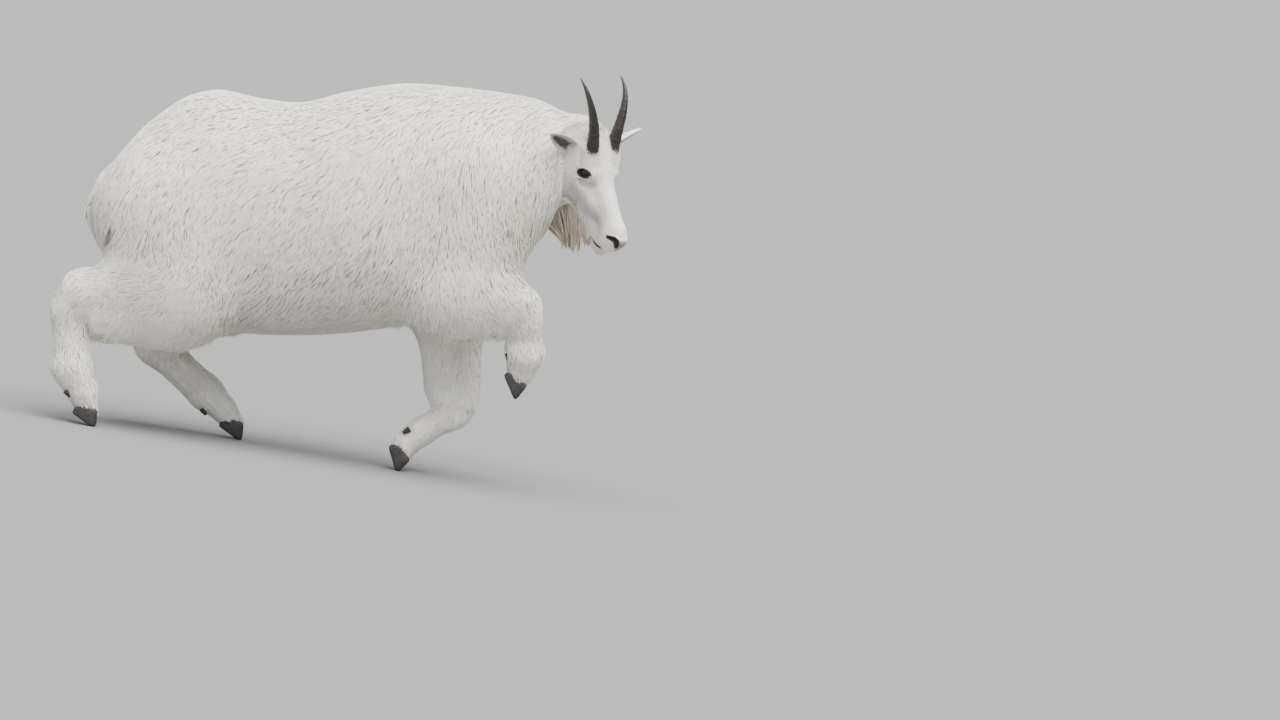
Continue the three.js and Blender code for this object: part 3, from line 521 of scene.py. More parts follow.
def unroll(p, group):
    """(turn from 0 to 1, way along from 0 to 1) round the part's own line."""
    p = np.asarray(p, float)
    if group == "trunk":
        ang = np.arctan2(p[:, 1], p[:, 2] - 575)
        along = (p[:, 0] - SPAN["trunk"][0]) / (SPAN["trunk"][1] - SPAN["trunk"][0])
        return (ang / (2 * pi)) % 1.0, np.clip(along, 0, 1)
    if group == "head":
        q = (p - np.array(HEAD_AT)) @ HEAD.T
        ang = np.arctan2(q[:, 2], -(q[:, 1] + 62))
        along = (q[:, 0] - SPAN["head"][0]) / (SPAN["head"][1] - SPAN["head"][0])
        return (ang / (2 * pi) + 0.5) % 1.0, np.clip(along, 0, 1)
    line = np.array(SPINES[group], float)
    seg = np.diff(line, axis=0)
    ln = np.linalg.norm(seg, axis=1)
    best, s_at, off, ax = np.full(len(p), 1e18), np.zeros(len(p)), np.zeros((len(p), 3)), np.zeros((len(p), 3))
    for i in range(len(seg)):
        t = np.clip((p - line[i]) @ seg[i] / ln[i] ** 2, 0, 1)
        o = p - line[i] - t[:, None] * seg[i]
        d = (o * o).sum(1)
        m = d < best
        best[m], s_at[m], off[m], ax[m] = d[m], (ln[:i].sum() + t * ln[i])[m], o[m], seg[i] / ln[i]
    y = np.array([0.0, 1.0, 0.0])
    side = y - ax * ax[:, 1:2]
    side /= np.linalg.norm(side, axis=1, keepdims=True)
    fwd = np.cross(side, ax)
    ang = np.arctan2((off * side).sum(1), (off * fwd).sum(1))
    return (ang / (2 * pi) + 0.5) % 1.0, s_at / ln.sum()


def group_of(p):
    p = np.ascontiguousarray(p, F)
    best, g = trunk_field(p, TRUNK_COAT) + 4, np.zeros(len(p), int)
    for name, grp, a, b, ra, rb, s, coat, k in LIMBS:
        if name.startswith("thigh") or name.startswith("shoulder"):
            continue
        d = cone(p, a, b, ra - coat, max(rb - coat, 3), s)
        m = d < best
        best, g = np.where(m, d, best), np.where(m, GROUPS.index(grp), g)
    d = head_field(p, True) - 2
    m = (d < best) & (to_head(p)[:, 0] > -75)
    return np.where(m, GROUPS.index("head"), g)


# ------------------------------------------------------------------ how the hair lies
def seen_from_right(px, py, dx, dy, reach=90):
    """A stroke of the comb on the animal's right side, in the side drawing."""
    return (px, py, dx, dy, reach)


STROKES = [  # place and way of the hair in the side drawing (y down), and how far the stroke is felt in mm
    # withers, back and rump
    (140, 130, -0.6, 0.8, 80), (180, 112, -0.8, 0.5, 90), (240, 100, -0.95, 0.35, 90), (310, 110, -0.9, 0.45, 90), (380, 95, -0.75, 0.65, 90),
    (430, 95, -0.6, 0.8, 90), (480, 103, -0.5, 0.86, 90), (530, 108, -0.55, 0.83, 80), (565, 115, -0.75, 0.6, 70),
    # flank, slanting down and back
    (240, 150, -0.8, 0.6, 90), (300, 160, -0.75, 0.66, 90), (360, 160, -0.62, 0.78, 90), (240, 220, -0.62, 0.78, 90), (300, 230, -0.6, 0.8, 90),
    (360, 230, -0.5, 0.87, 90), (340, 290, -0.5, 0.87, 90), (290, 300, -0.62, 0.78, 90), (400, 290, -0.45, 0.9, 90),
    # shoulder, down into the forearm
    (430, 160, -0.35, 0.94, 80), (480, 160, -0.2, 0.98, 80), (430, 230, -0.2, 0.98, 80), (480, 230, 0.02, 1.0, 80), (420, 290, -0.25, 0.97, 70),
    (460, 285, 0.15, 0.99, 60), (500, 250, 0.25, 0.97, 60), (500, 300, 0.35, 0.93, 45), (470, 330, 0.0, 1.0, 45),
    # neck
    (530, 150, -0.4, 0.92, 70), (520, 200, -0.2, 0.98, 70), (555, 150, -0.6, 0.8, 50), (540, 220, -0.12, 0.99, 50), (520, 255, 0.05, 1.0, 50),
    # rump and thigh
    (125, 170, -0.5, 0.87, 70), (105, 200, -0.2, 0.98, 60), (150, 190, -0.45, 0.9, 80), (190, 190, -0.45, 0.9, 80), (120, 235, -0.45, 0.9, 60),
    (160, 235, -0.25, 0.97, 60), (205, 240, -0.15, 0.99, 70), (215, 290, -0.35, 0.93, 60), (185, 290, -0.65, 0.76, 50), (150, 285, -0.95, 0.3, 50),
    (115, 275, -0.95, 0.3, 45), (195, 325, -0.75, 0.66, 50), (150, 325, -0.7, 0.72, 45), (115, 320, -0.5, 0.87, 40), (245, 320, -0.6, 0.8, 60)]


def comb(p, n):
    """Way of the hair at each point of the skin, of length 1 and along the skin."""
    p = np.ascontiguousarray(p, F)
    N = len(p)
    side = np.where(p[:, 1] >= 0, 1.0, -1.0)
    d, w = np.zeros((N, 3)), np.zeros(N)
    # the body, by strokes; both sides alike
    px = p[:, 0] / 2.4 + 340
    py = 450 - (p[:, 2] * E5C + np.abs(p[:, 1]) * -E5S) / 2.4
    for x, y, dx, dy, reach in STROKES:
        k = np.exp(-((px - x) ** 2 + (py - y) ** 2) * 2.4**2 / (2 * (reach * 0.55) ** 2)) + 1e-9
        d[:, 0] += k * dx
        d[:, 2] -= k * dy
        w += k
    d /= w[:, None]
    # on top, hair parts from the spine and lies back and out
    up = np.clip(n[:, 2], 0, 1) ** 2
    d[:, 1] += side * 0.45 * up
    d[:, 0] -= 0.35 * up
    # belly hair lies back and down toward the middle
    under = np.clip(-n[:, 2], 0, 1) ** 2
    d[:, 0] -= 0.7 * under
    # chest
    front = np.clip(n[:, 0], 0, 1) ** 2
    d[:, 2] -= 0.8 * front * (p[:, 0] > 300)
    # limbs, along each bone to the foot
    near = np.zeros(N)
    dl = np.zeros((N, 3))
    for name, grp, a, b, ra, rb, s, coat, k in LIMBS:
        if name.startswith(("thigh", "shoulder", "fringe")):
            continue
        f = cone(p, a, b, ra - coat, max(rb - coat, 3), s)
        reach = 9.0 if not name.startswith(("gaskin", "forearm")) else 6.0
        g = np.exp(-np.clip(f, 0, 200) / reach) * (1.0 if not name.startswith("gaskin_R") else 0.3)
        ax = (b - a) / np.linalg.norm(b - a)
        dl += g[:, None] * ax
        near = np.maximum(near, g)
    dl /= np.maximum(np.linalg.norm(dl, axis=1, keepdims=True), 1e-6)
    legs = np.clip(near * 1.5, 0, 1)[:, None]
    d = d * (1 - legs) + dl * legs
    # head: from the nose up the face and back over the cheeks, then down the throat
    q = to_head(p)
    aw = np.abs(q[:, 2])
    hd = np.zeros((N, 3))
    up_face = step01(q[:, 0], 225, 60) * 0.5 + 0.5
    hd[:, 0] = -1.0
    hd[:, 1] = np.where(q[:, 1] > -60, 0.10, -0.42) * up_face
    hd[:, 2] = np.sign(q[:, 2]) * 0.35 * step01(aw, 3, 25)
    jaw = step01(q[:, 1], -80, -108)
    hd[:, 1] -= 0.5 * jaw
    ex, ey = q[:, 0] - EYE_AT[0], q[:, 1] - EYE_AT[1]
    ring = np.exp(-(ex**2 + ey**2) / (2 * 24**2)) * (aw > 20)
    hd[:, 0] -= ring * 0.2
    hd[:, 1] += ring * np.clip(ey / 14, -1, 1) * 0.9
    q2 = q.copy()
    q2[:, 2] = np.abs(q2[:, 2])
    ea, eb, ec = eye_place(q2)
    lid = np.exp(-np.clip(slit(ea, eb), 0, 99) / 7.0) * (ec > -10)
    off = unit((ea / 210.0)[:, None] * EYE_ALONG + (eb / 75.0)[:, None] * EYE_UP)
    off[:, 2] *= np.sign(q[:, 2])
    hd = hd * (1 - lid)[:, None] + off * (1.1 * lid)[:, None]
    hp = hd @ HEAD
    hw = step01(q[:, 0], -60, 0) * step01(head_field(p, True) - 6, 14, 0)
    hw = hw[:, None]
    d = d * (1 - hw) + hp / np.maximum(np.linalg.norm(hp, axis=1, keepdims=True), 1e-6) * hw
    d = d - n * (d * n).sum(1, keepdims=True)
    return d / np.maximum(np.linalg.norm(d, axis=1, keepdims=True), 1e-6)


# ------------------------------------------------------------------ colours, by place on the body
CREAM, PALE, SHADE, YELLOW, BROWN, DARK = (np.array(c) for c in (
    (0.855, 0.825, 0.755), (0.905, 0.89, 0.85), (0.60, 0.58, 0.53), (0.78, 0.69, 0.50), (0.42, 0.34, 0.24), (0.022, 0.018, 0.016)))


def value_noise(p, size, seed):
    """Smooth noise from -1 to 1 at the points, with cells of that size in mm."""
    g = np.asarray(p, float) / size + 1000.0
    i = np.floor(g).astype(np.int64)
    t = g - i
    t = t * t * (3 - 2 * t)
    total = 0
    for dx in (0, 1):
        for dy in (0, 1):
            for dz in (0, 1):
                h = (i[..., 0] + dx) * 73856093 ^ (i[..., 1] + dy) * 19349663 ^ (i[..., 2] + dz) * 83492791 ^ seed * 2654435761
                h = (h ^ (h >> 13)) * 1274126177 & 0x7FFFFFFF
                r = (h % 65536) / 32767.5 - 1
                wgt = (t[..., 0] if dx else 1 - t[..., 0]) * (t[..., 1] if dy else 1 - t[..., 1]) * (t[..., 2] if dz else 1 - t[..., 2])
                total = total + r * wgt
    return total


PARTING_SHADE = [  # where the flank's coat parts in short slits, painted dark as shade: middle, way and half length in the side drawing
    (306, 280, 0.35, 6), (314, 278, 0.35, 5), (328, 275, 0.2, 5), (342, 255, 0.3, 4), (349, 274, 0.25, 5), (360, 269, 0.1, 6), (359, 283, 0.1, 3),
    (368, 277, -0.05, 5), (370, 256, -0.7, 6), (371, 234, -0.1, 4), (383, 233, -0.3, 7), (377, 266, -0.1, 4), (384, 255, -0.6, 4), (365, 244, -0.3, 3),
    (352, 265, 0.1, 3), (322, 287, 0.1, 3)]


def markings(p):
    """Colour of coat and skin at places on the skin, linear, with painted light on the top and painted shade on the
    lower flank, in the flank's partings, by the tail, at the groin, at the throat and partly on the thigh's whorl.
    """
    p = np.ascontiguousarray(p, F)
    q = head_place(p)
    px = p[:, 0] / 2.4 + 340
    py = 450 - (p[:, 2] * E5C - np.abs(p[:, 1]) * E5S) / 2.4
    c = np.tile(CREAM, (len(p), 1))

    def mix(col, k):
        nonlocal c
        c = c * (1 - k[:, None]) + np.asarray(col) * k[:, None]

    # paler toward the top of the back and over the top of the neck and shoulder: painted light from above
    back = step01(p[:, 2], 560, 800)
    mix(PALE, 0.45 * back)
    mix(PALE, 0.6 * step01(px, 455, 530) * step01(py, 300, 180))
    mix(PALE, 0.7 * step01(p[:, 2], 260, 120))
    # lower flank and thigh a little greyer and bluer: painted shade
    mix(CREAM * np.array([0.90, 0.90, 0.92]), 0.6 * step01(px, 400, 330) * step01(py, 170, 240) * step01(py, 360, 320))
    mix(YELLOW, 0.10 * np.clip(value_noise(p, 70, 3) + 0.2, 0, 1))
    mix(BROWN, 0.12 * np.clip(value_noise(p, 26, 5) - 0.15, 0, 1) * step01(py, 180, 330))
    # short dark slits from noise on the flank: painted shade inside the coat's partings
    slit_shade = np.clip(value_noise(np.stack([p[:, 0] * 1.0 + p[:, 2] * 0.55, p[:, 1] * 0.3, p[:, 2] * 0.22], 1), 13.0, 12) - 0.10, 0, 1)
    mix((0.24, 0.22, 0.19), 0.5 * np.clip(slit_shade * 1.8, 0, 1) * np.exp(-((px - 350) / 40) ** 2 - ((py - 267) / 34) ** 2))
    # dark mark in the gap beside the tail's tip: painted shade between tail and thigh
    cleft = np.exp(-((px - 111 + (py - 243) * 0.35) / 3.6) ** 2 - ((py - 241) / 8.5) ** 2)
    mix((0.12, 0.105, 0.09), 0.9 * cleft)
    # greyer along both sides of the tail: painted shade between tail and rump
    tail_side_shade = np.exp(-((np.abs(p[:, 1]) - 33) / 7.0) ** 2) * step01(px, 116, 106) * step01(py, 190, 205) * step01(py, 252, 240)
    mix((0.42, 0.40, 0.36), 0.5 * tail_side_shade)
    # brownish mottled whorl on the thigh: partly stain, partly painted shade
    swirl_stain_and_shade = np.exp(-((px - 152) / 17) ** 2 - ((py - 254) / 15) ** 2) * np.clip(0.6 + value_noise(p, 14, 21), 0, 1)
    mix((0.48, 0.42, 0.34), 0.42 * swirl_stain_and_shade)
    # pinkish brown at the groin: painted shade under the belly
    mix((0.62, 0.54, 0.47), 0.40 * np.exp(-((px - 238) / 16) ** 2 - ((py - 322) / 14) ** 2))
    # dark slits where the coat parts on the flank: painted shade
    part = np.zeros(len(p))
    for x, y, lean, half in PARTING_SHADE:
        along = (py - y) + (px - x) * lean
        part = np.maximum(part, np.exp(-(((px - x) - (py - y) * lean) / 1.25) ** 2 - (along / half) ** 4))
    mix((0.19, 0.17, 0.145), 0.85 * part)
    # throat darkened brownish: painted shade under the jaw, partly a stain
    throat = np.exp(-((px - 520) ** 2 / (2 * 14**2) + (py - 240) ** 2 / (2 * 28**2)))
    mix((0.50, 0.43, 0.33), 0.5 * throat)
    spot = np.exp(-((px - 510) ** 2 + (py - 238) ** 2) / (2 * 2.6**2)) * (p[:, 1] < 0)
    mix((0.10, 0.08, 0.07), 0.75 * spot)
    knee = np.exp(-((px - 530) ** 2 + (py - 308) ** 2) / (2 * 3.2**2)) * (p[:, 1] < 0)
    mix((0.42, 0.33, 0.22), 0.8 * knee)
    beard = step01(q[:, 1], -96, -120) * step01(q[:, 1], -200, -150) * step01(q[:, 0], 150, 60) * step01(q[:, 0], -60, -20) * step01(np.abs(q[:, 2]), 62, 40)
    mix((0.76, 0.68, 0.50), 0.75 * beard)
    # face
    face = (q[:, 0] > -40) * step01(head_field(p, True), 20, 6)
    mix(PALE * 0.93, 0.8 * face)
    aw = np.abs(q[:, 2])
    grey = np.exp(-((q[:, 0] - 150) / 34) ** 2 - ((q[:, 1] + 74) / 20) ** 2) + 0.8 * np.exp(-((q[:, 0] - 62) / 22) ** 2 - ((q[:, 1] + 66) / 16) ** 2)
    grey = grey + 0.7 * np.exp(-((q[:, 0] - 10) / 20) ** 2 - ((q[:, 1] + 44) / 16) ** 2)
    mix((0.66, 0.66, 0.66), 0.34 * np.clip(grey, 0, 1) * face * (aw > 8))
    mix((0.80, 0.66, 0.61), 0.42 * step01(q[:, 0], 196, 214) * step01(q[:, 1], -62, -44) * face)
    a, b, cc = eye_place(q)
    rim = step01(np.hypot((a - 1.5) / 19.5, b / np.where(b > 0, 12.2, 11.4)), 1.14, 0.93) * (cc > -4)
    tear = np.exp(-((a - 23) ** 2 / 26 + (b + 3) ** 2 / 9)) * (cc > -14)
    mix(DARK * 1.2, np.clip(np.maximum(rim, step01(slit(a, b), 2.4, 1.2) * (cc > 2)), 0, 1) * face)
    mix((0.25, 0.19, 0.14), 0.5 * tear * face)
    nost = chain(q, NOSTRIL)
    mouth = np.minimum(chain(q, MOUTH), chain(q, PHILTRUM))
    pad = step01(q[:, 0], 221, 229) * step01(q[:, 1], -50, -44) * step01(np.abs(q[:, 2]), 15, 10)
    mix((0.20, 0.16, 0.14), 0.75 * pad * face)
    mix((0.17, 0.13, 0.11), 0.85 * step01(nost, 4.6, 1.8) * face)
    mix(DARK, step01(nost, 2.6, 0.6) * face)
    mix((0.24, 0.20, 0.17), 0.75 * step01(mouth, 3.2, 1.2) * face)
    mix(DARK, step01(mouth, 1.7, 0.2) * face)
    return np.clip(c, 0, 1)


# ------------------------------------------------------------------ meshes
def to_object(name, verts, faces, smooth=True, quads=False):
    """faces is an (n, 3) or (n, 4) array."""
    me = bpy.data.meshes.new(name)
    k = faces.shape[1]
    me.vertices.add(len(verts))
    me.vertices.foreach_set("co", np.asarray(verts, F).ravel())
    me.loops.add(faces.size)
    me.loops.foreach_set("vertex_index", np.asarray(faces, np.int32).ravel())
    me.polygons.add(len(faces))
    me.polygons.foreach_set("loop_start", np.arange(0, faces.size, k, dtype=np.int32))
    me.polygons.foreach_set("loop_total", np.full(len(faces), k, np.int32))
    me.polygons.foreach_set("use_smooth", np.full(len(faces), smooth))
    me.update(calc_edges=True)
    o = bpy.data.objects.new(name, me)
    bpy.context.scene.collection.objects.link(o)
    return o


def paint(o, colour, name="Coat"):
    """A colour for each vertex."""
    at_ = o.data.color_attributes.new(name, "FLOAT_COLOR", "POINT")
    c = np.ones((len(colour), 4), F)
    c[:, :3] = colour
    at_.data.foreach_set("color", c.ravel())


def number(o, values, name):
    at_ = o.data.attributes.new(name, "FLOAT", "POINT")
    at_.data.foreach_set("value", np.asarray(values, F).ravel())


def lay_uv(o, uv, name="OFBake"):
    """uv is for each corner of each face."""
    layer = o.data.uv_layers.new(name=name)
    layer.data.foreach_set("uv", np.asarray(uv, F).ravel())


class Nodes:
    def __init__(self, name):
        self.mat = bpy.data.materials.new(name)
        self.mat.use_nodes = True
        self.t = self.mat.node_tree
        self.b = self.t.nodes["Principled BSDF"]

    def add(self, kind, **settings):
        n = self.t.nodes.new(kind)
        for k, v in settings.items():
            if k.startswith("in_"):
                key = k[3:].replace("_", " ")
                n.inputs[int(key) if key.isdigit() else key].default_value = v
            else:
                setattr(n, k, v)
        return n

    def link(self, a, out_name, b, in_name):
        self.t.links.new(a.outputs[out_name], b.inputs[in_name])


def hair_material(name, bump, rough=0.62, grain=420.0, sheen=0.25):
    m = Nodes(name)
    col = m.add("ShaderNodeAttribute", attribute_name="Coat")
    coords = m.add("ShaderNodeTexCoord")
    noise = m.add("ShaderNodeTexNoise", in_Scale=grain, in_Detail=3.0, in_Roughness=0.6)
    m.link(coords, "Object", noise, "Vector")
    low = m.add("ShaderNodeTexNoise", in_Scale=38.0, in_Detail=3.0)
    m.link(coords, "Object", low, "Vector")
    ramp = m.add("ShaderNodeMapRange", in_1=0.3, in_2=0.7, in_3=0.95, in_4=1.04)
    m.link(low, "Fac", ramp, "Value")
    fine = m.add("ShaderNodeMapRange", in_1=0.3, in_2=0.7, in_3=0.94, in_4=1.04)
    m.link(noise, "Fac", fine, "Value")
    both = m.add("ShaderNodeMath", operation="MULTIPLY")
    m.link(ramp, "Result", both, 0)
    m.link(fine, "Result", both, 1)
    mul = m.add("ShaderNodeVectorMath", operation="SCALE")
    m.link(col, "Color", mul, 0)
    m.link(both, "Value", mul, "Scale")
    m.link(mul, "Vector", m.b, "Base Color")
    b = m.add("ShaderNodeBump", in_Strength=bump, in_Distance=0.0006)
    m.link(noise, "Fac", b, "Height")
    m.link(b, "Normal", m.b, "Normal")
    m.b.inputs["Roughness"].default_value = rough
    m.b.inputs["Specular IOR Level"].default_value = 0.25
    m.b.inputs["Sheen Weight"].default_value = sheen
    m.b.inputs["Sheen Roughness"].default_value = 0.5
    return m.mat


def ready(o, mat, slot_name, *nodes):
    o.data.materials.append(mat)
    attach(o, "root")
    if nodes:
        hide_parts(*nodes)
    return o


# ------------------------------------------------------------------ the skin, with both ears set into it
def ear_rings(side, n, m, thick, t0=0.0, t1=1.0, proud=0.0):
    """Rings of the cupped ear from root to tip, and how each point lies: inside (1) or outside (0), across, along."""
    lean = np.array(EAR["lean"]) * np.array([1, 1, side])
    lean = (lean / np.linalg.norm(lean)) @ HEAD
    face = np.array(EAR_OPEN[side]) @ HEAD
    face = face - lean * (face @ lean)
    face /= np.linalg.norm(face)
    across = np.cross(face, lean)
    root = from_head(np.array(EAR["root"]) * np.array([1, 1, side]))
    t = np.linspace(t0, t1, n + 1)
    tt = np.clip(t, 0, 1)
    wide = EAR["half"] * np.sin(pi * (0.14 + 0.83 * tt) ** 0.9) ** 0.7
    cup = EAR["cup"] * (1 - tt) ** 0.6 + 2
    th = thick * (1 - 0.5 * tt) / 2
    q = np.cos(np.linspace(pi, 0, m + 1))
    rim = np.sqrt(np.clip(1 - q * q, 0, 1)) * 0.92 + 0.08
    pts, marks = [], []
    for i in range(n + 1):
        c = root + lean * EAR["length"] * t[i]
        up = cup[i] * (q * q - 0.5) + (th[i] + proud) * rim
        dn = cup[i] * (q * q - 0.5) - (th[i] + proud) * rim
        y = q * (wide[i] + proud)
        ring = [c + across * y[j] + face * up[j] for j in range(m + 1)] + [c + across * y[j] + face * dn[j] for j in range(m, -1, -1)]
        pts.append(ring)
        marks.append([(1, q[j], t[i]) for j in range(m + 1)] + [(0, q[j], t[i]) for j in range(m, -1, -1)])
    return np.array(pts), np.array(marks), (lean, face, across)


def tube_faces(n, m):
    """Triangles of n rings of m points with both ends closed by a fan to one more point each."""
    i, j = np.meshgrid(np.arange(n - 1), np.arange(m), indexing="ij")
    a, b = i * m + j, i * m + (j + 1) % m
    f = np.concatenate([np.stack([a, b, b + m], -1).reshape(-1, 3), np.stack([a, b + m, a + m], -1).reshape(-1, 3)])
    k = np.arange(m)
    f0 = np.stack([np.full(m, n * m), (k + 1) % m, k], 1)
    f1 = np.stack([np.full(m, n * m + 1), (n - 1) * m + k, (n - 1) * m + (k + 1) % m], 1)
    return np.concatenate([f, f0, f1])


def outward(v, f):
    a, b, c = v[f[:, 0]], v[f[:, 1]], v[f[:, 2]]
    return f if np.einsum("ij,ij->i", a, np.cross(b, c)).sum() > 0 else f[:, ::-1]


def closed_tube(rings):
    n, m = rings.shape[:2]
    v = np.concatenate([rings.reshape(-1, 3), rings[0].mean(0)[None], rings[-1].mean(0)[None]])
    centre = v.mean(0)
    return v, outward(v - centre, tube_faces(n, m))


def face_uv(group, tri, verts):
    """Corner places on the unwrap for triangles of one part, with the seam kept whole."""
    t, s = unroll(verts, group)
    t = t[tri]
    t = np.where(t - t[:, :1] > 0.5, t - 1, np.where(t[:, :1] - t > 0.5, t + 1, t))
    x0, y0, w, h = SHEET[group]
    return np.stack([x0 + np.clip(t * 0.92 + 0.04, 0, 1) * w, y0 + s[tri] * h], -1)


skin_v, skin_f = build_skin()
skin_n, _ = gradient(skin_field, skin_v, 0.4)
print("skin", len(skin_v), len(skin_f))

tri_mid = skin_v[skin_f].mean(1)
tri_group = group_of(tri_mid)
skin_uv = np.zeros((len(skin_f), 3, 2))
for gi, g in enumerate(GROUPS):
    m = tri_group == gi
    if m.any():
        skin_uv[m] = face_uv(g, skin_f[m], skin_v)
ears = {}
all_v, all_f, all_uv, all_c = [skin_v.astype(float)], [skin_f], [skin_uv], [markings(skin_v)]
base = len(skin_v)
# the inside of each ear cup is painted dark: painted shade in the hollow
EAR_IN_SHADE, EAR_OUT = np.array([0.115, 0.085, 0.07]), PALE * 0.96
for side in (-1, 1):
    rings, marks, axes = ear_rings(side, 40, 18, 5.2, -0.16, 1.0)
    v, f = closed_tube(rings)
    ears[side] = (rings, marks, axes)
    mk = np.concatenate([marks.reshape(-1, 3), [[0, 0, -0.16], [0, 0, 1.0]]])
    inner = mk[:, 0] * step01(np.abs(mk[:, 1]), 0.97, 0.62) * step01(mk[:, 2], 0.97, 0.8) * step01(mk[:, 2], -0.05, 0.1)
    col = EAR_OUT * (1 - inner[:, None]) + EAR_IN_SHADE * inner[:, None]
    n, m = rings.shape[:2]
    uu = np.concatenate([np.tile(np.arange(m) / m, n), [0.5, 0.5]])
    vv = np.concatenate([np.repeat(np.arange(n) / n, m), [0.0, 1.0]])
    x0 = 0.63 if side < 0 else 0.82
    t = uu[f]
    t = np.where(t - t[:, :1] > 0.5, t - 1, np.where(t[:, :1] - t > 0.5, t + 1, t))
    uv = np.stack([x0 + 0.01 + (t * 0.9 + 0.05) * 0.15, 0.395 + vv[f] * 0.0 + vv[f] * 0.2], -1)
    uv[..., 0] = (0.85 if side < 0 else 0.92) + (t * 0.9 + 0.05) * 0.06
    all_v.append(v)
    all_f.append(f + base)
    all_uv.append(uv)
    all_c.append(col)
    base += len(v)
skin = to_object("skin", out(np.concatenate(all_v)), np.concatenate(all_f))
# the skin under the coat is a little darker than the coat: painted shade beneath the tufts
paint(skin, np.concatenate(all_c) * 0.93)
lay_uv(skin, np.concatenate(all_uv).reshape(-1, 2))
FLESH = ["trunk", "neck", "head", "tail", "beard", "ear_right", "ear_left", "hind_leg_right", "hind_leg_left", "fore_leg_right", "fore_leg_left"]
ready(skin, hair_material("skin_fur", 0.9, grain=520.0, sheen=0.04), "coat", *FLESH)


# ------------------------------------------------------------------ the coat
def spread(tri_pts, density, seed):
    """Random places on triangles, so many to the square mm. Returns places and the triangle of each."""
    rng = np.random.default_rng(seed)
    a, b, c = tri_pts[:, 0].astype(float), tri_pts[:, 1].astype(float), tri_pts[:, 2].astype(float)
    area = np.linalg.norm(np.cross(b - a, c - a), axis=1) / 2
    total = np.cumsum(area * density)
    n = int(total[-1])
    pick = np.searchsorted(total, (np.arange(n) + rng.random(n)) * (total[-1] / n))
    pick = np.clip(pick, 0, len(area) - 1)
    r1, r2 = np.sqrt(rng.random(n)), rng.random(n)
    p = a[pick] * (1 - r1)[:, None] + b[pick] * (r1 * (1 - r2))[:, None] + c[pick] * (r1 * r2)[:, None]
    return p, pick


def about(v, axis, angle):
    """v turned about axis by angle, for many at once."""
    c, s = np.cos(angle)[:, None], np.sin(angle)[:, None]
    return v * c + np.cross(axis, v) * s + axis * (v * axis).sum(1, keepdims=True) * (1 - c)


def unit(v):
    return v / np.maximum(np.linalg.norm(v, axis=-1, keepdims=True), 1e-9)


def tuft_mesh(line, normal, width, thick):
    """Closed three-sided tufts. line is (n, rings + 1, 3) from root to tip, width and thick are (n, rings)."""
    n, k = line.shape[0], line.shape[1] - 1
    way = np.empty_like(line)
    way[:, 1:-1] = line[:, 2:] - line[:, :-2]
    way[:, 0], way[:, -1] = line[:, 1] - line[:, 0], line[:, -1] - line[:, -2]
    way = unit(way)
    side = unit(np.cross(way, normal[:, None, :]))
    up = np.cross(side, way)
    v = np.empty((n, 3 * k + 1, 3))
    for j in range(k):
        c, s, u = line[:, j], side[:, j] * (width[:, j] / 2)[:, None], up[:, j] * thick[:, j][:, None]
        v[:, 3 * j], v[:, 3 * j + 1], v[:, 3 * j + 2] = c - s - u * 0.3, c + s - u * 0.3, c + u * 0.7
    v[:, -1] = line[:, -1]
    own = np.empty_like(v)
    for j in range(k):
        own[:, 3 * j], own[:, 3 * j + 1], own[:, 3 * j + 2] = -side[:, j] - up[:, j] * 0.2, side[:, j] - up[:, j] * 0.2, up[:, j]
    own[:, -1] = up[:, -1]
    f = [(0, 2, 1)]
    under = [1]
    for j in range(k - 1):
        a, b = 3 * j, 3 * j + 3
        for x, y in ((0, 1), (1, 2), (2, 0)):
            f += [(a + x, a + y, b + y), (a + x, b + y, b + x)]
            under += [x == 0, x == 0]
    a, tip = 3 * (k - 1), 3 * k
    f += [(a, a + 1, tip), (a + 1, a + 2, tip), (a + 2, a, tip)]
    under += [1, 0, 0]
    below = np.tile(np.array(under, bool), n), -np.repeat(up[:, 0], len(f), axis=0)
    f = np.array(f)[:, ::-1]
    faces = (np.arange(n)[:, None, None] * (3 * k + 1) + f[None]).reshape(-1, 3)
    return v.reshape(-1, 3), faces, unit(own), below


def tuft_patch(root_uv, k, size=0.003):
    """Each tuft's own small patch at its root's place, for each of its points."""
    x = np.concatenate([np.tile([0.0, 1.0, 0.5], k), [0.5]])
    y = np.concatenate([np.repeat(np.arange(k), 3) / k + np.tile([0.0, 0.0, 0.12], k), [1.0]])
    off = np.stack([x - 0.5, y - 0.5], 1) * size
    return (root_uv[:, None, :] + off[None]).reshape(-1, 2)


def fit_unit(uv, pad=0.02):
    lo, hi = uv.min(0), uv.max(0)
    return pad + (uv - lo) / np.maximum(hi - lo, 1e-6) * (1 - 2 * pad)


COAT = hair_material("coat_fur", 0.35, grain=900.0)
made = []


def coat_piece(name, line, normal, width, thick, colour, root_uv, slot_name="coat", mat=None, root_shade=0.90, tip_light=1.02, form=0.0, shape=None):
    """form is how far the light on a tuft follows the body's own shape rather than the tuft's."""
    n, k = line.shape[0], line.shape[1] - 1
    v, f, own, (under, down) = tuft_mesh(line, normal, width, thick)
    o = to_object(name, out(v), f)
    if form > 0:
        nn = unit(own * (1 - form) + (normal if shape is None else shape)[:, None, :] * form).reshape(-1, 3)
        corner = np.where(under[:, None, None], down[:, None, :], nn[f])
        o.data.normals_split_custom_set(turn(corner.reshape(-1, 3)))
    # tufts darker at the root and a little lighter at the tip: painted shade deep in the coat and painted light at the
    # tips
    share = np.concatenate([np.repeat(np.arange(k) / k, 3), [1.0]])
    shade = root_shade + (tip_light - root_shade) * np.clip(share * 1.5, 0, 1)
    paint(o, np.clip((colour[:, None, :] * shade[None, :, None]).reshape(-1, 3), 0, 1))
    uv = tuft_patch(fit_unit(root_uv), k)
    lay_uv(o, uv[f.ravel()])
    ready(o, mat or COAT, slot_name)
    made.append((name, len(f)))
    return o


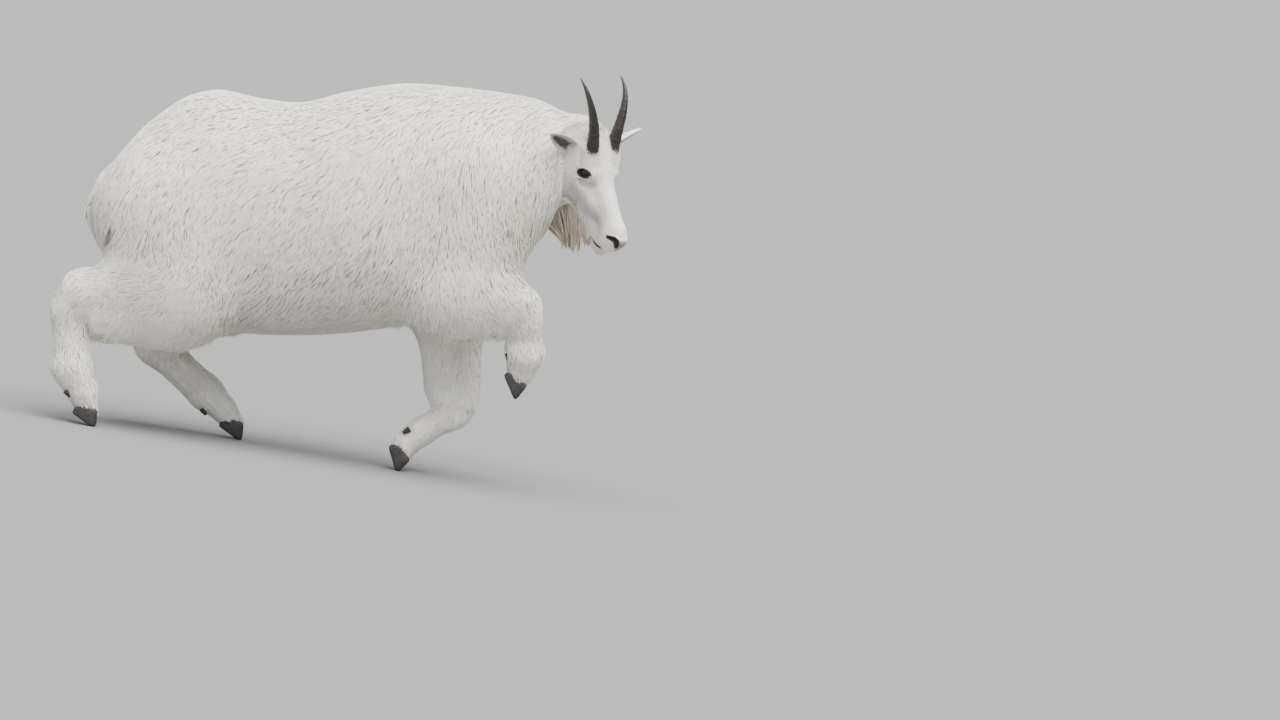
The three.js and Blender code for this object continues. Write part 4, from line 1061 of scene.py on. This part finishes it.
def grow(root, normal, way, length, depth, steps, rise):
    """Lines of hair from the skin: they follow the body while they rise to the tips of the coat."""
    p = np.ascontiguousarray(root, F)
    pts = [root - normal * 1.2]
    t = way.copy()
    n = normal
    last = 0.0
    for s, h in zip(steps, rise):
        p = p + (t * ((s - last) * length)[:, None]).astype(F)
        last = s
        n, slope = gradient(coat_field, p, 2.0)
        miss = coat_field(p) + depth * (1 - h)
        lim = np.maximum(length * 0.5, 4)
        p = p - n * np.clip(miss / np.maximum(slope, 0.5), -lim, lim)[:, None]
        t = unit(t - n * (t * n).sum(1, keepdims=True))
        pts.append(p.astype(float))
    return np.stack(pts, 1)


def roots_for(mask, density, seed):
    tri = skin_f[mask]
    p, pick = spread(skin_v[tri], density[mask], seed)
    n, _ = gradient(skin_field, np.ascontiguousarray(p, F), 0.6)
    return p, n.astype(float), tri_group[mask][pick]


tri_q = head_place(tri_mid)
ta, tb, tc = eye_place(tri_q)
bare = ((np.hypot((ta - 1.5) / 19.5, tb / 12.0) < 1.0) & (tc > 0)) | (chain(tri_q, NOSTRIL) < 3.8) | (chain(tri_q, MOUTH) < 2.0) | ((tri_q[:, 0] > 228) & (tri_q[:, 1] > -52))
head_tri = tri_group == GROUPS.index("head")
deep = -coat_field(tri_mid)
face_tri = head_tri & (deep < 12)
tri_px, tri_py = tri_mid[:, 0] / 2.4 + 340, 450 - (tri_mid[:, 2] * E5C - tri_mid[:, 1] * E5S) / 2.4
throat_tri = ~head_tri & (deep > 20) & (tri_px > 524) & (tri_px < 566) & (tri_py > 188) & (tri_py < 246)
under_jaw = (head_tri & (tri_q[:, 1] < -88) & (tri_q[:, 0] > -66) & (tri_q[:, 0] < 176) & (tri_q[:, 2] < 44)) | throat_tri
MANY = 1.0


def lock_centres(root, tip, every, seed):
    """For each tuft the nearest chosen tuft, whose tip its own leans to."""
    rng = np.random.default_rng(seed)
    chosen = rng.choice(len(root), max(8, len(root) // every), replace=False)
    tree = KDTree(len(chosen))
    for i, c in enumerate(chosen):
        tree.insert(root[c], i)
    tree.balance()
    near = np.array([tree.find(r)[1] for r in root])
    return chosen[near]


def make_coat(name, mask, density, seed, want, rings, widths, every, hold, group_filter=None):
    """One kind of hair over a part of the skin. Returns what the pieces need."""
    root, normal, grp = roots_for(mask, density * MANY, seed)
    rng = np.random.default_rng(seed + 1)
    n = len(root)
    depth = np.clip(-coat_field(root), 1.2, 75)
    way = comb(root, normal)
    swing = value_noise(root, 55, seed) * 0.22 + value_noise(root, 16, seed + 7) * 0.20 + rng.normal(0, 0.13, n)
    way = about(way, normal, swing)
    length = want(root, depth, rng)
    steps = {1: [1.0], 2: [0.36, 1.0], 3: [0.25, 0.6, 1.0]}[rings]
    rise = {1: [0.92], 2: [0.76, 1.0], 3: [0.62, 0.92, 1.0]}[rings]
    line = grow(root, normal, way, length, depth * (0.90 + 0.12 * rng.random(n)), steps, rise)
    # hair gathers into locks
    own = lock_centres(root, line[:, -1], every, seed + 2)
    for j in range(1, rings + 1):
        k = hold * (j / rings) ** 1.5
        aim = line[own, j] + (root - root[own]) * 0.25
        line[:, j] += (aim - line[:, j]) * k
    lock = np.random.default_rng(seed + 3).random(n)[own]
    tone = 0.93 + 0.10 * lock + rng.normal(0, 0.025, n)
    seen = root if rings == 1 else line[:, 1] * 0.4 + line[:, 2] * 0.6     # where a long tuft shows
    colour = markings(seen) * tone[:, None]
    w = widths(root, length, rng)
    clear = np.ones(n, bool)
    for j in range(1, rings + 1):
        for share in (0.5, 1.0):
            ea, eb, ec = eye_place(head_place(line[:, j] * share + line[:, j - 1] * (1 - share)))
            clear &= ~((slit(ea, eb) < 0.9) & (ec > -2) & (ec < 60))
    return {k: v[clear] for k, v in dict(root=root, normal=normal, grp=grp, line=line, width=w, colour=colour, length=length, depth=depth).items()} | {"name": name}


def split(c, parts):
    """Cuts a coat into pieces under the limit. parts gives a whole number for each tuft."""
    k = c["line"].shape[1] - 1
    most = 190000 // (4 + 6 * (k - 1))
    for val in np.unique(parts):
        idx = np.where(parts == val)[0]
        if len(idx) < 3:
            continue
        g = GROUPS[int(np.bincount(c["grp"][idx]).argmax())]
        t, s = unroll(c["root"][idx], g)
        pieces = int(np.ceil(len(idx) / most))
        order = np.argsort(s, kind="stable")
        for i, part in enumerate(np.array_split(order, pieces)):
            sel = idx[part]
            tt, ss = t[part], s[part]
            centre = np.arctan2(np.sin(tt * 2 * pi).mean(), np.cos(tt * 2 * pi).mean()) / (2 * pi)
            tt = (tt - centre + 0.5) % 1.0
            w = c["width"][sel]
            taper = np.linspace(0.75, 1.0, k)[None] if k > 1 else np.ones((1, 1))
            coat_piece(f"{c['name']}_{g}_{int(val)}_{i}", c["line"][sel], c["normal"][sel], w[:, None] * taper,
                       w[:, None] * taper * 0.34, c["colour"][sel], np.stack([tt, ss], 1), root_shade=0.95, form=0.80)


def near_head(p):
    """1 on the head and falling to 0 down the neck."""
    return step01(head_field(np.ascontiguousarray(p, F), True), 150, 30)


# the body and legs
body_tri = ~face_tri & ~(under_jaw & (deep > 20))
small = np.clip((deep - 5) / 15, 0, 1)
is_leg = np.isin(tri_group, [GROUPS.index(g) for g in ("hr", "hl", "fr", "fl")])
low = tri_mid[:, 2] < 260
hang = head_tri & (deep > 22)                     # beard, jowl and cheek
dens = np.where(is_leg & (deep < 15), 1 / 10.5, np.where(head_tri, 1 / 6.5, 1 / 20.5))
dens = np.where(deep > 30, 1 / 12.0, dens)
dens = dens * np.where(head_tri | is_leg, 1.0, 1 + 0.45 * near_head(tri_mid))


def body_length(root, depth, rng):
    n = len(root)
    q = head_place(root)
    cheek = step01(q[:, 0], -90, -50) * step01(head_field(np.ascontiguousarray(root, F), True), 60, 30)
    return np.clip(depth / 0.20, 13, 52 - 20 * cheek) * (0.78 + 0.40 * rng.random(n)) * (1 - 0.12 * near_head(root))


def body_width(root, length, rng):
    return np.clip(length * 0.070, 1.3, 3.3) * (0.70 + 0.6 * rng.random(len(root))) * (1 - 0.30 * near_head(root))


body = make_coat("coat", body_tri, dens, 100, body_length, 2, body_width, 14, 0.16)
side_key = (body["root"][:, 1] > 0).astype(int)
split(body, body["grp"] * 2 + np.where(body["grp"] == 0, side_key, 0))

def fringe():
    """Longer locks that hang free under the thighs, the elbows and the belly's edge."""
    t3 = skin_v[skin_f]
    nz = unit(np.cross(t3[:, 1] - t3[:, 0], t3[:, 2] - t3[:, 0]))[:, 2]
    zone = ((tri_px > 92) & (tri_px < 245) & (tri_py > 262) & (tri_py < 338)) | ((tri_px > 395) & (tri_px < 520) & (tri_py > 292) & (tri_py < 352))
    mask = (nz < -0.25) & zone & ~head_tri & (deep > 4)
    root, normal, grp = roots_for(mask, np.where(mask, 1 / 28.0, 0.0) * MANY, 700)
    rng = np.random.default_rng(701)
    n = len(root)
    depth = np.clip(-coat_field(np.ascontiguousarray(root, F)), 2, 50)
    way = comb(root, normal)
    lead = unit(way * 0.85 + normal * 0.42 + np.array([0, 0, -0.40]) + rng.normal(0, 0.08, (n, 3)))
    long = np.clip((depth + rng.uniform(2, 13, n)) / np.clip((lead * normal).sum(1), 0.45, 1), 10, 58)
    end = root + lead * long[:, None] + np.array([0, 0, -0.16]) * long[:, None]
    line = np.stack([root - normal * 1.2, root + lead * (long * 0.5)[:, None], end], 1)
    own = lock_centres(root, end, 14, 702)
    line[:, 2] += (line[own, 2] - line[:, 2]) * 0.5
    line[:, 1] += (line[own, 1] - line[:, 1]) * 0.12
    colour = markings(root) * (0.93 + 0.09 * np.random.default_rng(703).random(n)[own] + rng.normal(0, 0.02, n))[:, None]
    split(dict(name="coat_fringe", root=root, normal=normal, grp=grp, line=line, width=rng.uniform(1.6, 3.0, n), colour=colour), grp)


fringe()

# the face
face_dens = np.where(tri_q[:, 0] > 150, 1 / 2.6, 1 / 3.4) * np.where(bare, 0.0, 1.0)
face_dens = np.where((slit(ta, tb) < 5) & (tc > 0), face_dens * 1.3, face_dens)


def face_length(root, depth, rng):
    q = head_place(root)
    a, b, c = eye_place(q)
    l = np.clip(depth / 0.34, 4.5, 17) * (0.8 + 0.4 * rng.random(len(root)))
    l *= 1 - 0.45 * step01(q[:, 0], 150, 215)
    return l * (1 - 0.5 * np.exp(-np.clip(slit(a, b), 0, 99) / 5) * (c > 0))


def face_width(root, length, rng):
    return np.clip(length * 0.15, 0.7, 1.5) * (0.75 + 0.5 * rng.random(len(root)))


face = make_coat("coat_face", face_tri, face_dens, 300, face_length, 1, face_width, 5, 0.10)
split(face, face["grp"] * 0)


def strands(name, root, normal, line, width, colour, uv, slot_name="coat", mat=None, root_shade=0.88, flat=0.4, form=0.0, shape=None):
    k = line.shape[1] - 1
    taper = np.linspace(1.0, 0.85, k)[None] if k > 1 else np.ones((1, 1))
    coat_piece(name, line, normal, width[:, None] * taper, width[:, None] * taper * flat, colour, uv, slot_name, mat, root_shade, form=form, shape=shape)


def beard():
    """Long hair that hangs from the jaw and throat, gathered into locks."""
    root, normal, grp = roots_for(under_jaw, np.where(under_jaw, np.where(throat_tri, 1 / 9.0, 1 / 5.2), 0.0) * max(MANY, 0.6), 500)
    keep = normal[:, 2] < 0.35
    root, normal = root[keep], normal[keep]
    rng = np.random.default_rng(501)
    n = len(root)
    q = head_place(root)
    down = np.tile([0.0, -0.02, -1.0], (n, 1)) + rng.normal(0, 0.05, (n, 3))
    down[:, 0] += 0.10 * step01(q[:, 0], 90, 160) - 0.24 * step01(q[:, 0], 100, 20)
    rear = step01(root[:, 0] / 2.4 + 340, 560, 548)
    down[:, 0] += 0.42 * rear
    down = unit(down)
    reach = np.zeros(n)
    for t in np.arange(6, 170, 4.0):
        inside = coat_field(root + down * t) < 0
        reach = np.where(inside & (reach > t - 12), t, reach)
    q3 = to_head(np.ascontiguousarray(root, F))
    middle = np.exp(-(q3[:, 2] / 20.0) ** 2)
    long = np.clip(reach, 16, 135) * (0.45 + 0.27 * middle + 0.32 * rng.random(n))
    start = unit(normal * 0.35 + down)
    steps = np.array([0.0, 0.22, 0.6, 1.0])
    line = np.zeros((n, 4, 3))
    line[:, 0] = root - normal * 1.2
    line[:, 1] = root + start * (long * steps[1])[:, None]
    line[:, 2] = line[:, 1] + unit(down + normal * 0.12) * (long * 0.38)[:, None]
    line[:, 3] = line[:, 2] + unit(down - normal * 0.10) * (long * 0.40)[:, None]
    own = lock_centres(root, line[:, -1], 22, 502)
    for j, k in ((1, 0.10), (2, 0.36), (3, 0.66)):
        line[:, j] += (line[own, j] - line[:, j]) * k
    wave = value_noise(root, 20, 504) * 5.0
    heart = line[:, 3].mean(0)
    for j, k in ((2, 0.10), (3, 0.24)):
        line[:, j, :2] += (heart[None, :2] - line[:, j, :2]) * k
        line[:, j, 0] += wave * k * 3
        line[:, j, 1] += value_noise(root, 20, 505) * 14.0 * k
    tone = 0.90 + 0.14 * np.random.default_rng(503).random(n)[own] + rng.normal(0, 0.03, n)
    warm = np.tile([0.87, 0.80, 0.64], (n, 1))
    tipped = step01(reach, 30, 100)[:, None]
    colour = (warm * (1 - 0.5 * tipped) + np.array([0.76, 0.64, 0.40]) * 0.5 * tipped) * tone[:, None]
    w = np.clip(long * 0.034, 1.2, 3.6) * (0.7 + 0.6 * rng.random(n))
    t, a = unroll(root, "head")
    outer = line[:, 2] - heart - np.array([0, 0, 30.0])
    outer[:, 2] *= 0.25
    strands("coat_beard", root, unit(np.cross(line[:, 3] - line[:, 0], rng.normal(0, 1, (n, 3)))), line, w, colour, np.stack([(t + 0.5) % 1, a], 1), "beard_hair", form=0.7, shape=unit(outer))


beard()


def crown():
    """Hair that stands up round the roots of the horns."""
    for side, word in ((-1, "right"), (1, "left")):
        a0 = radians(HORN["rise"])
        d = unit(np.array([-cos(a0), sin(a0), 0.0]) @ HEAD)
        base = from_head(np.array(HORN["base"]) * np.array([1, 1, side]))
        rel = tri_mid - base
        h = rel @ d
        rad = np.linalg.norm(rel - h[:, None] * d, axis=1)
        mask = head_tri & (rad > HORN["radius"] + 0.5) & (rad < HORN["radius"] + 17) & (np.abs(h) < 40)
        dens_c = np.where(mask, 1 / 2.6 * step01(rad, HORN["radius"] + 18, HORN["radius"] + 4), 0.0) * max(MANY, 0.6)
        root, normal, grp = roots_for(mask, dens_c[:], 520 + side)
        rng = np.random.default_rng(522 + side)
        n = len(root)
        rel = root - base
        h = rel @ d
        away = rel - h[:, None] * d
        rr = np.linalg.norm(away, axis=1)
        away = away / np.maximum(rr, 1e-6)[:, None]
        goal = rng.uniform(1.0, 11.0, n) - 0.9 * (rr - HORN["radius"])
        share = np.clip((rr - HORN["radius"]) / 17, 0, 1)
        long = np.clip((goal - h) * (1 - 0.35 * share), 7, 34)
        tip = base + d * (h + long)[:, None] + away * (HORN["radius"] + 1.4 + (rr - HORN["radius"]) * (0.15 + 0.25 * share) + rng.random(n) * 2.0)[:, None]
        tip += rng.normal(0, 2.2, (n, 3))
        mid = root * 0.55 + tip * 0.45 + away * (long * 0.04)[:, None] + normal * (long * 0.02)[:, None]
        line = np.stack([root - normal * 1.2, mid, tip], 1)
        colour = markings(root) * (0.95 + 0.08 * rng.random(n))[:, None]
        w = 1.1 + 0.8 * rng.random(n)
        t, al = unroll(root, "head")
        t = (t + 0.5) % 1
        strands("coat_crown_" + word, root, away, line, w, colour, np.stack([t, al], 1), root_shade=0.94, form=0.7, shape=unit(away + normal * 0.8))


crown()


def ear_coat(side):
    rings, marks, (lean, facing, across) = ears[side]
    v, f = closed_tube(rings)
    mk = np.concatenate([marks.reshape(-1, 3), [[0, 0, -0.16], [0, 0, 1.0]]])
    tri = v[f]
    centre_in = mk[f][:, :, 0].mean(1) > 0.5
    edge = np.abs(mk[f][:, :, 1]).mean(1)
    along = mk[f][:, :, 2].mean(1)
    dens_e = np.where(centre_in, np.where(edge > 0.6, 1 / 3.0, 1 / 16.0), 1 / 2.4) * (along > -0.08) * MANY
    p, pick = spread(tri, dens_e, 400 + side)
    rng = np.random.default_rng(410 + side)
    n = unit(np.cross(tri[:, 1] - tri[:, 0], tri[:, 2] - tri[:, 0]))[pick]
    inn, ed, al = centre_in[pick], edge[pick], along[pick]
    way = np.tile(lean, (len(p), 1)) + rng.normal(0, 0.16, (len(p), 3))
    qn = ((p - from_head(np.array(EAR["root"]) * np.array([1, 1, side]))) @ across)
    way += across[None] * np.sign(qn)[:, None] * np.where(inn, -0.55 * (ed > 0.6), 0.35 * ed)[:, None]
    way = unit(way - n * (way * n).sum(1, keepdims=True))
    length = np.where(inn, 13.0, 9.0) * (0.75 + 0.5 * rng.random(len(p))) * (1 - 0.35 * np.clip(al, 0, 1))
    lift = np.where(inn, 0.42, 0.20)
    tip = p + way * (length * np.cos(lift))[:, None] + n * (length * np.sin(lift))[:, None]
    line = np.stack([p - n * 0.6, tip], 1)
    # hair deep in the ear cup darker: painted shade in the hollow
    col = np.where((inn & (ed < 0.55))[:, None], np.array([[0.45, 0.40, 0.33]]), PALE[None]) * (0.92 + 0.12 * rng.random(len(p)))[:, None]
    w = (1.25 + 0.5 * rng.random(len(p)))[:, None]
    uv = np.stack([al + 0.16, (qn - qn.min()) / (np.ptp(qn) + 1e-6) * 0.45 + np.where(inn, 0.5, 0.0)], 1)
    coat_piece("coat_ear_" + ("right" if side < 0 else "left"), line, n, w, w * 0.34, col, uv, root_shade=0.9, form=0.6)


ear_coat(-1)
ear_coat(1)


# ------------------------------------------------------------------ eyes
def eye(side):
    lon, lat = 56, 40
    th = np.linspace(0, pi, lat + 1)[1:-1]
    ph = np.arange(lon) * 2 * pi / lon
    axis = (EYE_AXIS * np.array([1, 1, side])) @ HEAD
    along = (EYE_ALONG * np.array([1, 1, side])) @ HEAD
    up = np.cross(axis, along)
    c = from_head(np.array(EYE_AT) * np.array([1, 1, side]))
    rings = []
    for t in th:
        bulge = 1 + 0.045 * np.exp(-(t / 0.5) ** 2)      # clear front of the eye
        rings.append(c + EYE_R * bulge * (axis[None] * cos(t) + along[None] * sin(t) * np.cos(ph)[:, None] + up[None] * sin(t) * np.sin(ph)[:, None]))
    rings = np.array(rings)
    v = np.concatenate([rings.reshape(-1, 3), (c + axis * EYE_R * 1.045)[None], (c - axis * EYE_R)[None]])
    f = outward(v - c, tube_faces(len(th), lon))
    d = (v - c) / EYE_R
    a, b, o = d @ along, d @ up, d @ axis
    r = np.sqrt(a * a + b * b)
    iris = np.array([0.030, 0.016, 0.008])[None] * (0.8 + 0.5 * value_noise(np.stack([np.arctan2(b, a) * 9, r * 6, r * 0], 1), 1.0, 4))[:, None]
    iris = iris * np.where(r > 0.70, 0.35, 1.0)[:, None]
    pupil = ((np.abs(b) < 0.19) & (np.abs(a) < 0.46) & (o > 0))
    col = np.where(pupil[:, None], 0.002, iris)
    col = np.where((o < 0.55)[:, None], np.array([[0.03, 0.022, 0.018]]), col)
    name = "right" if side < 0 else "left"
    ob = to_object("eyeball_" + name, out(v), f)
    paint(ob, col)
    m = Nodes("eye_wet_" + name)
    ca = m.add("ShaderNodeAttribute", attribute_name="Coat")
    m.link(ca, "Color", m.b, "Base Color")
    nz = m.add("ShaderNodeTexNoise", in_Scale=300.0)
    co = m.add("ShaderNodeTexCoord")
    m.link(co, "Object", nz, "Vector")
    mr = m.add("ShaderNodeMapRange", in_1=0.0, in_2=1.0, in_3=0.05, in_4=0.11)
    m.link(nz, "Fac", mr, "Value")
    m.link(mr, "Result", m.b, "Roughness")
    m.b.inputs["Specular IOR Level"].default_value = 0.3
    m.b.inputs["Coat Weight"].default_value = 0.25
    m.b.inputs["Coat Roughness"].default_value = 0.03
    ready(ob, m.mat, "eye", "eye_" + name)


eye(-1)
eye(1)


# ------------------------------------------------------------------ horns
def horn_material():
    m = Nodes("horn_dark")
    co = m.add("ShaderNodeTexCoord")
    a = m.add("ShaderNodeAttribute", attribute_name="Coat")
    n1 = m.add("ShaderNodeTexNoise", in_Scale=70.0, in_Detail=5.0)
    m.link(co, "Object", n1, "Vector")
    wv = m.add("ShaderNodeTexWave", in_Scale=26.0, in_Distortion=5.0, in_Detail=2.0, bands_direction="Z")
    m.link(co, "Object", wv, "Vector")
    mr = m.add("ShaderNodeMapRange", in_1=0.25, in_2=0.75, in_3=0.6, in_4=1.5)
    m.link(n1, "Fac", mr, "Value")
    sc = m.add("ShaderNodeVectorMath", operation="SCALE")
    m.link(a, "Color", sc, 0)
    m.link(mr, "Result", sc, "Scale")
    m.link(sc, "Vector", m.b, "Base Color")
    r = m.add("ShaderNodeMapRange", in_1=0.2, in_2=0.8, in_3=0.30, in_4=0.52)
    m.link(n1, "Fac", r, "Value")
    m.link(r, "Result", m.b, "Roughness")
    b = m.add("ShaderNodeBump", in_Strength=0.35, in_Distance=0.0008)
    m.link(wv, "Fac", b, "Height")
    m.link(b, "Normal", m.b, "Normal")
    return m.mat


HORN_MAT = horn_material()


def horn(side):
    n, m = 150, 36
    p = np.array([HORN["base"][0], HORN["base"][1], HORN["base"][2] * side], float)

    def step(t):
        a = radians(HORN["rise"] - HORN["sweep"] * t**2.2)
        return unit(np.array([-cos(a), sin(a), HORN["splay"] * side * sin(pi * t)]))

    rings, cols = [], []
    ang = 2 * pi * np.arange(m) / m
    rng = np.random.default_rng(50 + side)
    marks = np.sort(rng.uniform(0.02, 0.55, 12))

    def ring(c, d, r, t):
        way = d @ HEAD
        s = unit(np.cross(way, W))
        q = np.cross(way, s)
        ridge = 0.0
        for mk in marks:
            ridge += 0.055 * np.exp(-((t - mk) / 0.012) ** 2) * (1 - mk)
        grain = 0.012 * np.sin(ang * 7 + 3 * t) * (1 - t)
        k = r * (1 + ridge + grain - 0.02)
        rings.append(from_head(c)[None] + s[None] * (k * 1.08 * np.cos(ang))[:, None] + q[None] * (k * 0.95 * np.sin(ang))[:, None])
        base = np.array([0.015, 0.012, 0.011])[None] + np.array([0.038, 0.026, 0.016])[None] * (0.5 + 0.5 * np.sin(ang * 1 + 1.2))[:, None] * (0.35 + 0.65 * t)
        base = base * (1 - 0.35 * np.clip(ridge / 0.05, 0, 1))
        cols.append(base)

    d0 = step(0)
    ring(p - d0 * HORN["root"] * 0.7, d0, HORN["radius"] + HORN["tip"], 0.0)
    for i in range(n + 1):
        t = i / n
        d = step(t)
        ring(p, d, max(HORN["radius"] * (1 - t) ** 0.75 + HORN["tip"] * (1 - 0.6 * t), 0.5), t)
        if i < n:
            p = p + step(t) * HORN["length"] / n
    rings = np.array(rings)
    v, f = closed_tube(rings)
    col = np.concatenate([np.concatenate(cols), [[0.03, 0.022, 0.018]] * 2])
    name = "right" if side < 0 else "left"
    o = to_object("horn_fine_" + name, out(v), f)
    paint(o, col)
    ready(o, HORN_MAT, "horn", "horn_" + name)


horn(-1)
horn(1)

# ------------------------------------------------------------------ hooves and dewclaws
CLAW = [(0, 0), (0.45, -0.005), (0.87, 0), (0.97, 0.10), (0.94, 0.30), (0.86, 0.52), (0.66, 1), (0.38, 0.95), (0.10, 0.86), (-0.08, 0.42), (-0.07, 0.12)]


def smooth_loop(pts, per):
    pts = np.array(pts, float)
    n = len(pts)
    res = []
    for i in range(n):
        a, b, c, d = pts[(i - 1) % n], pts[i], pts[(i + 1) % n], pts[(i + 2) % n]
        for t in np.arange(per) / per:
            res.append(0.5 * ((2 * b) + (c - a) * t + (2 * a - 5 * b + 4 * c - d) * t * t + (3 * b - a - 3 * c + d) * t**3))
    return np.array(res)


def hoof_material():
    m = Nodes("hoof_dark")
    co = m.add("ShaderNodeTexCoord")
    a = m.add("ShaderNodeAttribute", attribute_name="Coat")
    n1 = m.add("ShaderNodeTexNoise", in_Scale=160.0, in_Detail=4.0)
    m.link(co, "Object", n1, "Vector")
    mr = m.add("ShaderNodeMapRange", in_1=0.25, in_2=0.75, in_3=0.55, in_4=1.6)
    m.link(n1, "Fac", mr, "Value")
    sc = m.add("ShaderNodeVectorMath", operation="SCALE")
    m.link(a, "Color", sc, 0)
    m.link(mr, "Result", sc, "Scale")
    m.link(sc, "Vector", m.b, "Base Color")
    r = m.add("ShaderNodeMapRange", in_1=0.2, in_2=0.8, in_3=0.42, in_4=0.7)
    m.link(n1, "Fac", r, "Value")
    m.link(r, "Result", m.b, "Roughness")
    b = m.add("ShaderNodeBump", in_Strength=0.4, in_Distance=0.0006)
    m.link(n1, "Fac", b, "Height")
    m.link(b, "Normal", m.b, "Normal")
    return m.mat


HOOF_MAT = hoof_material()


for foot_name, foot in FEET.items():
    s, n, heel = foot_frame(foot)
    loop = smooth_loop(CLAW, 5)
    for side, word in ((-1, "right"), (1, "left")):
        mid = np.array([0.40, 0.45])
        ts = np.array([0.0, 0.03, 0.12, 0.3, 0.5, 0.7, 0.84, 0.93, 0.98, 1.0])
        ks = np.array([0.93, 0.965, 0.99, 1.0, 1.0, 0.975, 0.935, 0.87, 0.80, 0.72])
        rings = []
        for t, k in zip(ts, ks):
            al = (mid[0] + (loop[:, 0] - mid[0]) * k) * HOOF["sole"]
            hh = (mid[1] + (loop[:, 1] - mid[1]) * k) * HOOF["height"]
            y = side * (HOOF["cleft"] / 2 + t * HOOF["width"])
            rings.append(heel[None] + s[None] * al[:, None] + n[None] * hh[:, None] + np.array([0, y, 0])[None])
        v, f = closed_tube(np.array(rings))
        v = out(v)
        v[:, 2] = np.maximum(v[:, 2], 0.0)
        o = to_object(f"hoof_{foot_name}_{word}", v, f)
        hh = np.concatenate([np.tile(loop[:, 1], len(ts)), [0.5, 0.5]])
        al = np.concatenate([np.tile(loop[:, 0], len(ts)), [0.4, 0.4]])
        line = 0.85 + 0.25 * np.sin(hh * 26 + al * 3)
        col = np.array([0.030, 0.027, 0.026])[None] * line[:, None] + np.array([0.05, 0.042, 0.034])[None] * (np.clip(hh - 0.7, 0, 1) * 0.9)[:, None]
        paint(o, col)
        ready(o, HOOF_MAT, "hoof", f"claw_{foot_name}_{word}")
        # dewclaw
        c = heel + s * foot["dew"][0] + n * foot["dew"][1] + np.array([0, side * 17, 0])
        ax = unit(s * foot["aim"][0] + n * foot["aim"][1])
        e1 = unit(np.cross(ax, [0, 1, 0]))
        e2 = np.cross(ax, e1)
        ang = 2 * pi * np.arange(20) / 20
        prof = [(-1.0, 0.80), (-0.96, 0.96), (-0.8, 1.0), (-0.3, 0.93), (0.3, 0.74), (0.7, 0.58), (0.9, 0.42), (1.0, 0.18)]
        rings = [c + ax * h * DEW["length"] / 2 + (e1[None] * np.cos(ang)[:, None] * 0.9 + e2[None] * np.sin(ang)[:, None]) * r * DEW["radius"] for h, r in prof]
        v, f = closed_tube(np.array(rings))
        o = to_object(f"dew_{foot_name}_{word}", out(v), f)
        paint(o, np.tile([0.030, 0.027, 0.025], (len(v), 1)))
        ready(o, HOOF_MAT, "hoof", f"dewclaw_{foot_name}_{word}")


# ------------------------------------------------------------------ floor, light and camera
def floor():
    x = np.array([(-260.0, -260.0), (260, -260), (260, 260), (-260, 260)])
    v = np.concatenate([x, np.zeros((4, 1))], 1)
    o = to_object("floor", v, np.array([[0, 1, 2, 3]]), smooth=False)
    m = Nodes("floor_pale")
    co = m.add("ShaderNodeTexCoord")
    n1 = m.add("ShaderNodeTexNoise", in_Scale=1.3, in_Detail=2.0)
    m.link(co, "Object", n1, "Vector")
    mx = m.add("ShaderNodeMix", data_type="RGBA")
    mx.inputs[6].default_value = (0.188, 0.190, 0.193, 1)
    mx.inputs[7].default_value = (0.203, 0.204, 0.206, 1)
    m.link(n1, "Fac", mx, 0)
    m.t.links.new(mx.outputs[2], m.b.inputs["Base Color"])
    m.b.inputs["Roughness"].default_value = 0.8
    o.data.materials.append(m.mat)


floor()
world = bpy.data.worlds.new("studio")
bpy.context.scene.world = world
world.use_nodes = True
bg = world.node_tree.nodes["Background"]
bg.inputs["Color"].default_value = (0.86, 0.90, 0.95, 1)
bg.inputs["Strength"].default_value = 0.82


def sun(name, way, power, soft, colour):
    li = bpy.data.lights.new(name, "SUN")
    li.energy = power
    li.angle = radians(soft)
    li.color = colour
    o = bpy.data.objects.new(name, li)
    bpy.context.scene.collection.objects.link(o)
    o.rotation_mode = "QUATERNION"
    o.rotation_quaternion = Vector(way).to_track_quat("-Z", "Y")


sun("key", (-0.15, 0.26, -1.0), 9.4, 58, (1.0, 0.962, 0.915))
sun("fill", (0.7, 0.9, -0.35), 0.7, 90, (0.93, 0.96, 1.0))

cam_data = bpy.data.cameras.new("camera")
cam = bpy.data.objects.new("camera", cam_data)
bpy.context.scene.collection.objects.link(cam)
DISTANCE, WIDE = 20.0, 3.072
right = turn([1, 0, 0])
ahead = turn([0, E5C, -E5S])
up = turn([0, E5S, E5C])
target = out(np.array([720.0, 0, 0]) + 216.0 * np.array([0, E5S, E5C]))
place = target - ahead * DISTANCE
cam.matrix_world = Matrix([
    [right[0], up[0], -ahead[0], place[0]],
    [right[1], up[1], -ahead[1], place[1]],
    [right[2], up[2], -ahead[2], place[2]],
    [0, 0, 0, 1]])
cam_data.sensor_width = 36.0
cam_data.lens = 36.0 * DISTANCE / WIDE
cam_data.clip_start, cam_data.clip_end = 0.5, 800
bpy.context.scene.camera = cam

for name, count in made:
    print("coat piece", name, count)
print("coat triangles", sum(c for _, c in made))
